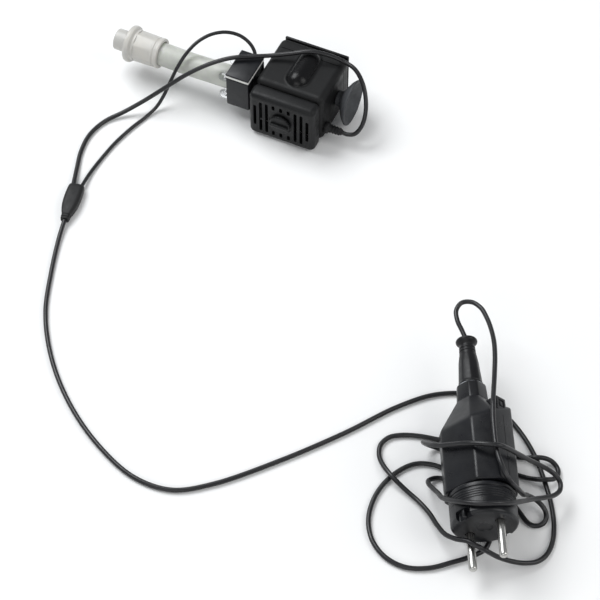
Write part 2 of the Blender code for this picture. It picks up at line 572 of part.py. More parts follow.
def supply_boot():
    start = BODY_BACK - COLLAR_LEN - GAP
    end = start - BOOT_LEN
    ribs = []
    for i in range(3):
        x = end + 0.0066 - 0.0018 * i
        ribs += [(0.0040, x), (0.0040, x - 0.0007), (0.0034, x - 0.0009), (0.0034, x - 0.0016)]
    profile = [(0, start), (0.0058, start), (0.0060, start - 0.0006), (0.0056, start - 0.0060)]
    profile += ribs
    profile += [(0.0036, end + 0.0014), (0.0052, end + 0.0010), (0.0055, end + 0.0005), (0.0050, end),
                (0, end)]
    return turned("supply_boot", profile, "X", (0, 0, 0), SUPPLY, BLACK_RUBBER)


def supply_transformer():
    back, front = 0.0, 0.0310
    core = block("transformer_core", (back, -0.0130, -0.0075), (front, 0.0130, 0.0075), SUPPLY, CORE)
    window = 0.0055
    for i, side in enumerate((-1, 1)):
        y = side * 0.0073
        room = block(f"window_{i}", (back + 0.0050, y - window / 2, -0.0085),
                     (front - 0.0050, y + window / 2, 0.0085), SUPPLY)
        cut(core, room)
    # the winding sits in the two windows, round the middle leg
    leg = 0.0045
    low, high = back + 0.0055, front - 0.0055
    former = block("transformer_former", (low, -0.0095, -0.0105), (high, 0.0095, 0.0105), SUPPLY, NYLON)
    hole = block("leg_hole", (low - CUT, -leg - GAP, -0.0078), (high + CUT, leg + GAP, 0.0078), SUPPLY)
    waist = block("waist", (low + 0.0010, -0.0110, -0.0120), (high - 0.0010, 0.0110, 0.0120), SUPPLY)
    keep = block("waist_keep", (low - CUT, -leg - 0.0011, -0.0088), (high + CUT, leg + 0.0011, 0.0088),
                 SUPPLY)
    cut(waist, keep)
    cut(former, waist, hole)
    coil = block("transformer_winding", (low + 0.0013, -0.0094, -0.0104), (high - 0.0013, 0.0094, 0.0104),
                 SUPPLY, COPPER)
    inside = block("winding_hole", (low, -leg - 0.0014, -0.0091), (high, leg + 0.0014, 0.0091), SUPPLY)
    cut(coil, inside)


# ---------------------------------------------------------------- leads and cord

def on_floor(a, b, z):
    """A point of the supply's floor frame (right, away, up), in world coordinates."""
    c, s = math.cos(VIEW_TURN), math.sin(VIEW_TURN)
    return SUPPLY_AT + Vector((a * c - b * s, a * s + b * c, z))


def splice_point(along, aside):
    """A point on the splice's middle height, along its heading and to the right of it."""
    c, s = Vector(SPLICE_HEADING).normalized()
    return on_floor(SPLICE_AT[0] + along * c + aside * s, SPLICE_AT[1] + along * s - aside * c,
                    SPLICE_HALF.z)


def smooth_line(points, fine=24):
    """Points close together on a centripetal Catmull-Rom curve through the given ones."""
    points = [2 * points[0] - points[1]] + points + [2 * points[-1] - points[-2]]
    line = []
    for p0, p1, p2, p3 in zip(points, points[1:], points[2:], points[3:]):
        t0 = 0.0
        t1 = t0 + math.sqrt((p1 - p0).length)
        t2 = t1 + math.sqrt((p2 - p1).length)
        t3 = t2 + math.sqrt((p3 - p2).length)
        for i in range(fine):
            t = t1 + (t2 - t1) * i / fine
            a1 = p0.lerp(p1, (t - t0) / (t1 - t0))
            a2 = p1.lerp(p2, (t - t1) / (t2 - t1))
            a3 = p2.lerp(p3, (t - t2) / (t3 - t2))
            b1 = a1.lerp(a2, (t - t0) / (t2 - t0))
            b2 = a2.lerp(a3, (t - t1) / (t3 - t1))
            line.append(b1.lerp(b2, (t - t1) / (t2 - t1)))
    line.append(points[-2])
    return line


def thinned(line, off_line, longest):
    """The fewest points whose straight runs stay near the line and under the longest run."""
    kept, start = [line[0]], 0
    while start < len(line) - 1:
        end = start + 1
        while end + 1 < len(line):
            chord = line[end + 1] - line[start]
            middle = line[(start + end + 1) // 2] - line[start]
            off = middle.cross(chord).length / chord.length
            if off > off_line or chord.length > longest:
                break
            end += 1
        kept.append(line[end])
        start = end
    return kept


def tube(name, points, radius, off_line):
    curve = bpy.data.curves.new(name, "CURVE")
    curve.dimensions = "3D"
    curve.bevel_depth = radius
    curve.bevel_resolution = 2
    curve.use_fill_caps = True
    run = thinned(smooth_line(points), off_line, 0.030)
    spline = curve.splines.new("POLY")
    spline.points.add(len(run) - 1)
    for place_on, point in zip(spline.points, run):
        place_on.co = (*point, 1.0)
    curve.materials.append(CORD)
    made = bpy.data.objects.new(name, curve)
    PARTS.objects.link(made)
    return made


def cords():
    entry = SPLICE_HALF.x + GAP
    pump_points = [PUMP_AT + MM * Vector(p) for p in PUMP_LEAD_ROUTE]
    gland_tip = PUMP_AT + Vector((HOUSING_X + 0.0100 + GAP, -0.0075, 0.008))
    tube("pump_lead", [gland_tip] + pump_points + [splice_point(-entry, SPLICE_ENTRY)], CORD_R, 0.0004)
    light_points = [PUMP_AT + MM * Vector(p) for p in LIGHT_LEAD_ROUTE]
    light_side = PUMP_AT + Vector((-0.0300, OUTLET_Y + LIGHT_HALF + GAP, OUTLET_Z + 0.0030))
    tube("light_lead", [light_side] + light_points + [splice_point(-entry, -SPLICE_ENTRY)], LEAD_R, 0.0004)
    boot_end = SUPPLY.matrix_world @ Vector((BODY_BACK - COLLAR_LEN - BOOT_LEN - 2 * GAP, 0, 0))
    points = [on_floor(MM * a, MM * b, MM * z) for a, b, z in SUPPLY_CORD_ROUTE]
    tube("supply_cord", [splice_point(entry, 0)] + points + [boot_end], CORD_R, 0.0007)


def splice():
    half = SPLICE_HALF
    body = block("lead_splice", -half, half, None, BLACK_RUBBER, bevel=0.0016, segments=3)
    body.matrix_world = (Matrix.Translation(splice_point(0, 0))
                         @ Matrix.Rotation(heading_angle(), 4, "Z"))
    return body


def heading_angle():
    return math.atan2(SPLICE_HEADING[1], SPLICE_HEADING[0]) + VIEW_TURN


motor_housing()
motor_parts()
rotor_parts()
chamber_parts()
intake_cover()
flow_regulator()
suction_foot()
cord_gland()
light_collar()
outlet_and_hose()
supply_shells()
supply_boot()
supply_transformer()
splice()
cords()
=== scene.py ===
"""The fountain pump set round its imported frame: materials, fine shapes, cords, floor, light and camera."""

import math

import bmesh
import bpy
from mathutils import Matrix, Vector


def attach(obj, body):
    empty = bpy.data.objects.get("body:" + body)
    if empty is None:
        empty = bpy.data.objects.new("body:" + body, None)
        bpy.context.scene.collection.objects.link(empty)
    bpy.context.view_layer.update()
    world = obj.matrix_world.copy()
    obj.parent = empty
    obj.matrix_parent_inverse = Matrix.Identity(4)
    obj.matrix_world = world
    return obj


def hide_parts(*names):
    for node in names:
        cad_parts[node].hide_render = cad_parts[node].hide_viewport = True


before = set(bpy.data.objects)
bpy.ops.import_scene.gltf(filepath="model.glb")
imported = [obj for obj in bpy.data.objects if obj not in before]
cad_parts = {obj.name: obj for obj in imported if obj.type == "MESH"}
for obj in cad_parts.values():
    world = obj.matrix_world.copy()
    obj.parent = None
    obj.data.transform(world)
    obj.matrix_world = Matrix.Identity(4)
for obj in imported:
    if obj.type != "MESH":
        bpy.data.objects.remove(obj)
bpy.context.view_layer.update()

MM = 0.001
GAP = 0.0003
VIEW_TURN = math.radians(25)            # the camera looks along the supply's floor frame
PUMP_AT = Vector((0.0390, -0.0002, 0.0))
SUPPLY_AT = Vector((0.2081, -0.1623, 0.0))
PUMP = Matrix.Translation(PUMP_AT)
# the supply's own frame: x towards its pins, turned, pitched nose down and rolled
SUPPLY = (Matrix.Translation(SUPPLY_AT)
          @ Matrix.Rotation(VIEW_TURN, 4, "Z")
          @ Matrix.Translation((-0.0006, -0.0030, 0.0219))
          @ Matrix.Rotation(math.radians(2.0) - math.pi / 2, 4, "Z")
          @ Matrix.Rotation(math.radians(3.0), 4, "Y")
          @ Matrix.Rotation(math.radians(45), 4, "X"))
OUTLET_Y, OUTLET_Z = -0.0052, 0.0190     # the outlet's axis, along x in the pump's frame
HOUSING_SIDE = 0.0200        # half the housing's length along the outlet
FOOT_AT = (0, 0.008, 0.016)
GLAND_AT = (0, -0.0075, 0.008)
ROTOR_AT = (-0.005, 0, 0.016)
KNOB_AT = (0, 0, 0.016)
LIGHT_FRONT, LIGHT_BACK = -0.0360, -0.0223
HOSE_START, HOSE_END = -0.0363, -0.0890
HOSE_R, HOSE_BORE = 0.0065, 0.0051
BODY_BACK = -0.0141          # where the supply's collar meets its shoulder
SHOULDER_X, SHOULDER_LEAN = -0.0035, 0.443
BODY_HALF_W, BODY_HALF_H, BODY_CHAMFER = 0.0174, 0.0146, 0.0078
BODY_THICK = 0.0022
COLLAR_HALF = 0.0070
DRUM_BACK, FACE_X, DRUM_R = 0.0365, 0.0530, 0.0159
PIN_SPACING, PIN_R, PIN_LEN = 0.0186, 0.0020, 0.0190
BOOT_START = BODY_BACK - 0.0092 - GAP
BOOT_TIP = BOOT_START - 0.0268


def on_floor(a, b, z):
    """A point of the supply's floor frame (right, away, up, in metres), in the row frame."""
    c, s = math.cos(VIEW_TURN), math.sin(VIEW_TURN)
    return SUPPLY_AT + Vector((a * c - b * s, a * s + b * c, z))


# ---------------------------------------------------------------- camera, floor and light

def shown(name, data):
    made = bpy.data.objects.new(name, data)
    bpy.context.scene.collection.objects.link(made)
    return made


def look(obj, at, target):
    obj.location = at
    obj.rotation_euler = (Vector(target) - Vector(at)).to_track_quat("-Z", "Y").to_euler()


def camera():
    data = bpy.data.cameras.new("camera")
    data.sensor_width = 36.0
    data.lens = 123.0
    data.clip_start, data.clip_end = 0.05, 20.0
    made = shown("camera", data)
    look(made, on_floor(-0.086, -0.545, 0.840), on_floor(-0.084, 0.088, 0.004))
    bpy.context.scene.camera = made


def area_light(name, at, target, size, power, colour=(1.0, 1.0, 1.0)):
    data = bpy.data.lights.new(name, "AREA")
    data.shape = "RECTANGLE"
    data.size, data.size_y = size
    data.energy = power
    data.color = colour
    look(shown(name, data), at, target)


def studio():
    scene = bpy.context.scene
    scene.view_settings.view_transform = "Standard"
    world = bpy.data.worlds.new("studio")
    scene.world = world
    world.use_nodes = True
    back = world.node_tree.nodes["Background"]
    back.inputs["Color"].default_value = (0.93, 0.96, 1.0, 1.0)
    back.inputs["Strength"].default_value = 0.33
    middle = on_floor(-0.08, 0.09, 0.0)
    area_light("key", on_floor(-0.75, 0.70, 1.25), middle, (1.1, 0.8), 20.5, (0.97, 0.985, 1.0))
    area_light("fill", on_floor(0.95, -0.25, 0.95), middle, (0.9, 0.9), 6.6, (1.0, 0.99, 0.975))
    area_light("front", on_floor(-0.45, -1.2, 0.9), middle, (1.2, 0.7), 5.2)

    mesh = bpy.data.meshes.new("floor")
    build = bmesh.new()
    bmesh.ops.create_grid(build, x_segments=4, y_segments=4, size=4.0)
    build.to_mesh(mesh)
    build.free()
    floor = shown("floor", mesh)
    floor.location.z = -0.00005
    mat = Skin("floor_paper", (0.86, 0.86, 0.855), 0.8).mottle(9.0, 0.002).done()
    mesh.materials.append(mat)


# ---------------------------------------------------------------- materials

class Skin:
    """A Principled material with procedural detail, built step by step. Sizes are in metres."""

    def __init__(self, name, colour, roughness, metallic=0.0, specular=0.5, ior=1.5):
        self.mat = bpy.data.materials.new(name)
        self.mat.use_nodes = True
        self.tree = self.mat.node_tree
        self.shader = self.tree.nodes["Principled BSDF"]
        self.set("Base Color", (*colour, 1.0))
        self.set("Roughness", roughness)
        self.set("Metallic", metallic)
        self.set("Specular IOR Level", specular)
        self.set("IOR", ior)
        self.colour, self.roughness = (*colour, 1.0), roughness
        self.colour_out = self.rough_out = self.bump_out = None
        self.coords = self.tree.nodes.new("ShaderNodeTexCoord").outputs["Object"]

    def set(self, name, value):
        self.shader.inputs[name].default_value = value
        return self

    def add(self, kind, **values):
        node = self.tree.nodes.new(kind)
        for key, value in values.items():
            setattr(node, key, value)
        return node

    def link(self, a, b):
        self.tree.links.new(a, b)

    def stretched(self, factors):
        """The object's coordinates, scaled unevenly."""
        mapping = self.add("ShaderNodeMapping")
        mapping.inputs["Scale"].default_value = factors
        self.link(self.coords, mapping.inputs["Vector"])
        return mapping.outputs["Vector"]

    def noise(self, scale, detail=3.0, rough=0.55, vector=None):
        node = self.add("ShaderNodeTexNoise")
        node.inputs["Scale"].default_value = scale
        node.inputs["Detail"].default_value = detail
        node.inputs["Roughness"].default_value = rough
        self.link(vector or self.coords, node.inputs["Vector"])
        return node.outputs["Fac"]

    def ranged(self, value, low_in, high_in, low, high):
        node = self.add("ShaderNodeMapRange")
        for key, number in zip(("From Min", "From Max", "To Min", "To Max"), (low_in, high_in, low, high)):
            node.inputs[key].default_value = number
        self.link(value, node.inputs["Value"])
        return node.outputs["Result"]

    def blend_colour(self, factor, colour):
        """Lay a colour over what is there by a factor output."""
        node = self.add("ShaderNodeMix", data_type="RGBA", blend_type="MIX")
        if self.colour_out:
            self.link(self.colour_out, node.inputs["A"])
        else:
            node.inputs["A"].default_value = self.colour
        node.inputs["B"].default_value = (*colour, 1.0)
        self.link(factor, node.inputs["Factor"])
        self.colour_out = node.outputs["Result"]
        return self

    def mottle(self, scale, amount, tint=(1.0, 1.0, 1.0)):
        """Slow changes of brightness, towards a lighter tint."""
        lighter = [min(1.0, c * (1 + 10 * amount)) * t for c, t in zip(self.colour, tint)]
        return self.blend_colour(self.ranged(self.noise(scale), 0.35, 0.70, 0.0, 1.0), lighter)

    def gloss(self, scale, low, high, vector=None):
        """Roughness that wanders between two values."""
        self.rough_out = self.ranged(self.noise(scale, vector=vector), 0.30, 0.70, low, high)
        return self

    def bump(self, height, distance):
        node = self.add("ShaderNodeBump")
        node.inputs["Strength"].default_value = 1.0
        node.inputs["Distance"].default_value = distance
        self.link(height, node.inputs["Height"])
        if self.bump_out:
            self.link(self.bump_out, node.inputs["Normal"])
        self.bump_out = node.outputs["Normal"]
        return self

    def grain(self, size, depth, vector=None):
        """A fine moulded texture with features of a size and a depth."""
        return self.bump(self.noise(1.0 / size, 2.0, 0.6, vector), depth)

    def above(self, low, high):
        """A factor that rises from 0 to 1 between two heights."""
        parts = self.add("ShaderNodeSeparateXYZ")
        self.link(self.coords, parts.inputs["Vector"])
        return self.ranged(parts.outputs["Z"], low, high, 0.0, 1.0)

    def smoother(self, factor, roughness):
        """A second roughness where the factor is 1."""
        node = self.add("ShaderNodeMix", data_type="FLOAT")
        self.link(factor, node.inputs["Factor"])
        self.link(self.rough_out, node.inputs["A"])
        node.inputs["B"].default_value = roughness
        self.rough_out = node.outputs["Result"]
        return self

    def bands(self, direction, scale, depth, distortion=0.0):
        """Fine parallel ridges, such as sheets or turns of wire."""
        node = self.add("ShaderNodeTexWave", bands_direction=direction)
        node.inputs["Scale"].default_value = scale
        node.inputs["Distortion"].default_value = distortion
        self.link(self.coords, node.inputs["Vector"])
        return self.bump(node.outputs["Fac"], depth)

    def done(self):
        for out, name in ((self.colour_out, "Base Color"), (self.rough_out, "Roughness"),
                          (self.bump_out, "Normal")):
            if out:
                self.link(out, self.shader.inputs[name])
        return self.mat


COOL = (0.95, 1.0, 1.08)     # a faintly blue tint for the lighter patches of glossy black
# key: name, colour, roughness, metallic, specular, mottle (or None), gloss, grain
PLAIN_SKINS = {
    "cover": ("cover_plastic", (0.0056, 0.0058, 0.0063), 0.42, 0.0, 0.26,
              (80, 0.03), (260, 0.38, 0.54), (0.00030, 0.00004)),
    "impeller": ("impeller_plastic", (0.62, 0.62, 0.58), 0.42, 0.0, 0.5,
                 (150, 0.03), (300, 0.36, 0.50), (0.0003, 0.00002)),
    "foot": ("foot_rubber", (0.036, 0.038, 0.041), 0.62, 0.0, 0.36,
             (120, 0.04), (300, 0.56, 0.76), (0.0004, 0.00005)),
    "gland": ("gland_rubber", (0.0065, 0.0065, 0.0070), 0.48, 0.0, 0.34,
              (150, 0.03), (300, 0.42, 0.60), (0.0003, 0.00003)),
    "light": ("light_plastic", (0.0072, 0.0077, 0.0090), 0.32, 0.0, 0.34,
              (90, 0.03, COOL), (260, 0.28, 0.44), (0.00045, 0.00003)),
    "bead": ("light_seal", (0.70, 0.70, 0.67), 0.40, 0.0, 0.5,
             (400, 0.02), (500, 0.32, 0.50), (0.0008, 0.00008)),
    # the cord's black is a little lighter than the other blacks: partly its own colour, partly painted sheen
    "cord": ("cord_sheath", (0.0095, 0.0095, 0.0108), 0.34, 0.0, 0.46,
             None, (350, 0.27, 0.44), (0.0006, 0.00003)),
    "supply": ("supply_plastic", (0.0056, 0.0058, 0.0070), 0.32, 0.0, 0.34,
               (60, 0.03, COOL), (180, 0.26, 0.40), (0.00030, 0.00003)),
    "boot": ("boot_plastic", (0.0055, 0.0055, 0.0064), 0.42, 0.0, 0.32,
             (150, 0.03), (260, 0.34, 0.50), (0.0003, 0.00003)),
    "seam": ("seam_line", (0.30, 0.31, 0.33), 0.45, 0.0, 0.5,
             None, (500, 0.38, 0.52), (0.0003, 0.00002)),
    "nylon": ("nylon", (0.66, 0.64, 0.57), 0.45, 0.0, 0.5,
              (120, 0.02), (300, 0.38, 0.52), (0.0004, 0.00002)),
    "ceramic": ("shaft_ceramic", (0.86, 0.85, 0.81), 0.20, 0.0, 0.5,
                None, (600, 0.14, 0.28), (0.0003, 0.00001)),
    "ferrite": ("ferrite", (0.07, 0.07, 0.075), 0.52, 0.2, 0.5,
                (200, 0.04), (400, 0.45, 0.62), (0.0002, 0.00004)),
    "seal": ("seal_rubber", (0.020, 0.020, 0.021), 0.5, 0.0, 0.5,
             None, (400, 0.42, 0.6), (0.0003, 0.00002)),
    "board": ("circuit_board", (0.010, 0.010, 0.011), 0.40, 0.0, 0.5,
              (500, 0.04), (400, 0.32, 0.48), (0.0005, 0.00002)),
    "epoxy": ("epoxy", (0.020, 0.020, 0.022), 0.22, 0.0, 0.5,
              (90, 0.06), (90, 0.15, 0.34), (0.004, 0.0002)),
    "leads": ("lamp_frame", (0.74, 0.74, 0.73), 0.28, 1.0, 0.5,
              None, (900, 0.2, 0.36), (0.0002, 0.00001)),
    "phosphor": ("lamp_phosphor", (0.86, 0.78, 0.30), 0.5, 0.0, 0.5,
                 (1500, 0.03), (900, 0.42, 0.6), (0.0002, 0.00002)),
}


def make_materials():
    m = {}
    for key, (name, colour, roughness, metallic, specular, mottle, gloss, grain) in PLAIN_SKINS.items():
        skin = Skin(name, colour, roughness, metallic, specular)
        if mottle:
            skin.mottle(*mottle)
        m[key] = skin.gloss(*gloss).grain(*grain).done()
    # painted shade: the housing's black is set a little darker than its plastic alone, to stand for shade
    # falling on it
    skin = (Skin("housing_plastic", (0.0062, 0.0064, 0.0067), 0.48, specular=0.23)
            .mottle(70, 0.03).gloss(240, 0.42, 0.58).grain(0.00035, 0.00005))
    polished = skin.above(0.0322, 0.0328)        # the bulge on top is smoother and darker
    m["housing"] = skin.blend_colour(polished, (0.0042, 0.0042, 0.0046)).smoother(polished, 0.24).done()
    m["hose"] = (Skin("hose_vinyl", (0.575, 0.590, 0.540), 0.38, ior=1.42)
                 .set("Transmission Weight", 0.22).set("Subsurface Weight", 0.35)
                 .set("Subsurface Radius", (0.006, 0.007, 0.005)).set("Subsurface Scale", 0.6)
                 .mottle(110, 0.02).gloss(160, 0.30, 0.46).grain(0.0012, 0.00004).done())
    # the fitting's warm white is set down to a light grey: partly its own colour, partly painted shade
    m["fitting"] = (Skin("fitting_plastic", (0.50, 0.492, 0.468), 0.38)
                    .set("Subsurface Weight", 0.15).set("Subsurface Radius", (0.002, 0.0018, 0.0015))
                    .mottle(60, 0.012, (1.0, 0.98, 0.94)).gloss(220, 0.30, 0.46)
                    .grain(0.0008, 0.00002).done())
    m["resin"] = (Skin("lamp_resin", (0.97, 0.985, 1.0), 0.04, ior=1.5)
                  .set("Transmission Weight", 1.0).gloss(900, 0.02, 0.07).grain(0.002, 0.00001).done())
    pins = Skin("pin_metal", (0.50, 0.495, 0.475), 0.28, 1.0)
    lengthwise = pins.stretched((40, 4000, 4000))
    m["pins"] = pins.gloss(1.0, 0.20, 0.36, vector=lengthwise).grain(1.0, 0.000006, vector=lengthwise).done()
    m["core"] = (Skin("core_steel", (0.33, 0.33, 0.34), 0.42, 0.9).gloss(300, 0.34, 0.55)
                 .bands("Y", 320.0, 0.00012).done())
    m["copper"] = (Skin("enamelled_copper", (0.58, 0.25, 0.11), 0.30, 0.85).gloss(400, 0.24, 0.40)
                   .bands("Z", 620.0, 0.00015, 0.6).done())
    return m


CAD_SKINS = {
    "potting": "epoxy", "stator_core": "core", "coil_former": "nylon", "coil": "copper",
    "motor_shaft": "ceramic", "rear_bushing": "seal", "front_bushing": "seal", "rotor_magnet": "ferrite",
    "impeller": "impeller", "chamber_cover": "cover", "chamber_seal": "seal", "light_board": "board",
    "outlet_pipe": "cover", "transformer_core": "core", "transformer_former": "nylon",
    "transformer_winding": "copper",
}


# ---------------------------------------------------------------- making shapes

AXES = {"X": (Vector((1, 0, 0)), Vector((0, 1, 0)), Vector((0, 0, 1))),
        "Y": (Vector((0, 1, 0)), Vector((0, 0, 1)), Vector((1, 0, 0))),
        "Z": (Vector((0, 0, 1)), Vector((1, 0, 0)), Vector((0, 1, 0)))}


def cleaned(mesh):
    """Join doubled points, drop loose ones and close any pinhole that a Boolean step left."""
    build = bmesh.new()
    build.from_mesh(mesh)
    bmesh.ops.remove_doubles(build, verts=build.verts, dist=1e-6)
    bmesh.ops.dissolve_degenerate(build, edges=build.edges, dist=1e-7)
    bmesh.ops.delete(build, geom=[v for v in build.verts if not v.link_faces], context="VERTS")
    rims = [e for e in build.edges if len(e.link_faces) == 1]
    if rims:
        bmesh.ops.holes_fill(build, edges=rims, sides=12)
    build.to_mesh(mesh)
    build.free()


def placed(name, mesh, skin, where, body="pump", sharp=50.0, own_frame=False):
    """A finished mesh as a piece that rides on a body, with its points in the row frame or its own."""
    made = shown(name, mesh)
    if own_frame:
        made.matrix_world = where
    else:
        mesh.transform(where)
    cleaned(mesh)
    mesh.materials.clear()
    mesh.materials.append(skin)
    mesh.shade_smooth()
    mesh.set_sharp_from_angle(angle=math.radians(sharp))
    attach(made, body)
    return made


def stands_for(piece, node):
    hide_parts(node)
    return piece


def bridged(build, rings):
    """Quads between each ring of points and the next."""
    for low, high in zip(rings, rings[1:]):
        for k in range(len(low)):
            j = (k + 1) % len(low)
            build.faces.new((low[k], low[j], high[j], high[k]))


def as_mesh(name, build):
    bmesh.ops.recalc_face_normals(build, faces=build.faces)
    mesh = bpy.data.meshes.new(name)
    build.to_mesh(mesh)
    build.free()
    return mesh


def softened(points, radius, parts=4, closed=False):
    """A polyline with its corners rounded, each by as much as its two runs allow."""
    points = [Vector(p) for p in points]
    line = []
    last = len(points) - 1
    for i, corner in enumerate(points):
        if not closed and i in (0, last):
            line.append(corner)
            continue
        before, after = points[i - 1] - corner, points[(i + 1) % len(points)] - corner
        reach = min(radius, 0.45 * before.length, 0.45 * after.length)
        start, end = corner + before.normalized() * reach, corner + after.normalized() * reach
        for j in range(parts + 1):
            t = j / parts
            line.append(start.lerp(corner, t).lerp(corner.lerp(end, t), t))
    return line


def lathe_mesh(name, profile, axis, at, steps=72, closed=False):
    """A turned surface through (radius, height) points; points on the axis become poles."""
    along, side, other = AXES[axis]
    at = Vector(at)
    build = bmesh.new()
    rings = []
    for r, h in profile:
        centre = at + along * h
        if r < 1e-7:
            rings.append([build.verts.new(centre)])
            continue
        angles = [2 * math.pi * i / steps for i in range(steps)]
        rings.append([build.verts.new(centre + r * (side * math.cos(t) + other * math.sin(t)))
                      for t in angles])
    pairs = list(zip(rings, rings[1:]))
    if closed:
        pairs.append((rings[-1], rings[0]))
    for low, high in pairs:
        if len(low) == 1 and len(high) == 1:
            continue
        for i in range(steps):
            j = (i + 1) % steps
            if len(low) == 1:
                build.faces.new((low[0], high[j], high[i]))
            elif len(high) == 1:
                build.faces.new((low[i], low[j], high[0]))
            else:
                build.faces.new((low[i], low[j], high[j], high[i]))
    return as_mesh(name, build)


def lathe(name, profile, axis, at, skin, where, steps=72, closed=False, soft=0.0, sharp=50.0,
          own_frame=False):
    line = softened(profile, soft) if soft else profile
    return placed(name, lathe_mesh(name, line, axis, at, steps, closed), skin, where, "pump", sharp,
                  own_frame)


def box_mesh(name, low, high, radius=0.0, segments=4):
    low, high = Vector(low), Vector(high)
    build = bmesh.new()
    bmesh.ops.create_cube(build, size=1.0)
    bmesh.ops.scale(build, vec=high - low, verts=build.verts)
    bmesh.ops.translate(build, vec=(low + high) / 2, verts=build.verts)
    if radius:
        bmesh.ops.bevel(build, geom=build.edges[:], offset=radius, segments=segments, profile=0.5,
                        affect="EDGES", clamp_overlap=True)
    return as_mesh(name, build)


def rod_mesh(radius, start, end, axis, at, steps):
    return lathe_mesh("rod", [(0, start), (radius, start), (radius, end), (0, end)], axis, at, steps)


def less(mesh):
    return "DIFFERENCE", mesh


def plus(mesh):
    return "UNION", mesh


def tool(mesh, where):
    """A mesh used to cut or join another, and removed afterwards."""
    made = shown("tool", mesh)
    made.matrix_world = where
    return made


def shaped(mesh, where, *steps):
    """The mesh after Boolean steps (operation, other mesh), each placed the same way."""
    target = tool(mesh, where)
    helpers = []
    for operation, other in steps:
        helper = tool(other, where)
        helpers.append(helper)
        change = target.modifiers.new("change", "BOOLEAN")
        change.operation = operation
        change.solver = "EXACT"
        change.object = helper
    depsgraph = bpy.context.evaluated_depsgraph_get()
    result = bpy.data.meshes.new_from_object(target.evaluated_get(depsgraph))
    for used in helpers + [target]:
        bpy.data.objects.remove(used)
    return result


def modified(mesh, *modifiers):
    """The mesh after modifiers given as (type, {settings})."""
    target = tool(mesh, Matrix.Identity(4))
    for kind, settings in modifiers:
        change = target.modifiers.new("change", kind)
        for key, value in settings.items():
            setattr(change, key, value)
    depsgraph = bpy.context.evaluated_depsgraph_get()
    result = bpy.data.meshes.new_from_object(target.evaluated_get(depsgraph))
    bpy.data.objects.remove(target)
    return result


def edged(mesh, width):
    """The mesh with its sharp edges rounded by a small width."""
    return modified(mesh, ("BEVEL", {"width": width, "segments": 2, "limit_method": "ANGLE",
                                     "angle_limit": math.radians(30), "use_clamp_overlap": True}))


# ---------------------------------------------------------------- cords

# From the gland, up past the foot, over the housing and the light collar, down to the splice (mm)
PUMP_LEAD_ROUTE = [
    (33, -7.6, 8), (37, -6.8, 9.4), (39.6, -4, 13.5), (40, 0, 19), (38, 5, 25.5), (33.5, 10.5, 31.2),
    (27, 15, 34.6), (19.5, 17, 35.4), (10, 16.3, 37.2), (1, 13.5, 38.4), (-9, 9.5, 36.2), (-19, 5, 34.6),
    (-29, 0, 34.2), (-38, -5, 33.8), (-48, -11, 30.4), (-58, -17.5, 24.5), (-68, -24.5, 16.5),
    (-78, -32, 8.5), (-87, -40, 3), (-94, -49, 1.3), (-97, -61, 1.3), (-95.5, -74, 1.3),
    (-91.5, -86, 1.7),
]
# From the far side of the light collar, in an arch over the hose, to the splice (mm)
LIGHT_LEAD_ROUTE = [
    (-30, 8, 22.3), (-31.2, 11.6, 24), (-35, 14.5, 27), (-41.5, 15.2, 30.5), (-48.5, 12.5, 33),
    (-55, 7, 33.8), (-60, 0, 32.5), (-63.5, -7, 28.8), (-66.2, -13, 22.8), (-68.5, -18.3, 15.2),
    (-70.5, -23, 7.8), (-72.5, -28.5, 2.8), (-75, -36, 1.1), (-78.5, -47, 1.1), (-81.5, -60, 1.1),
    (-83, -73, 1.1), (-83.5, -86, 1.6),
]
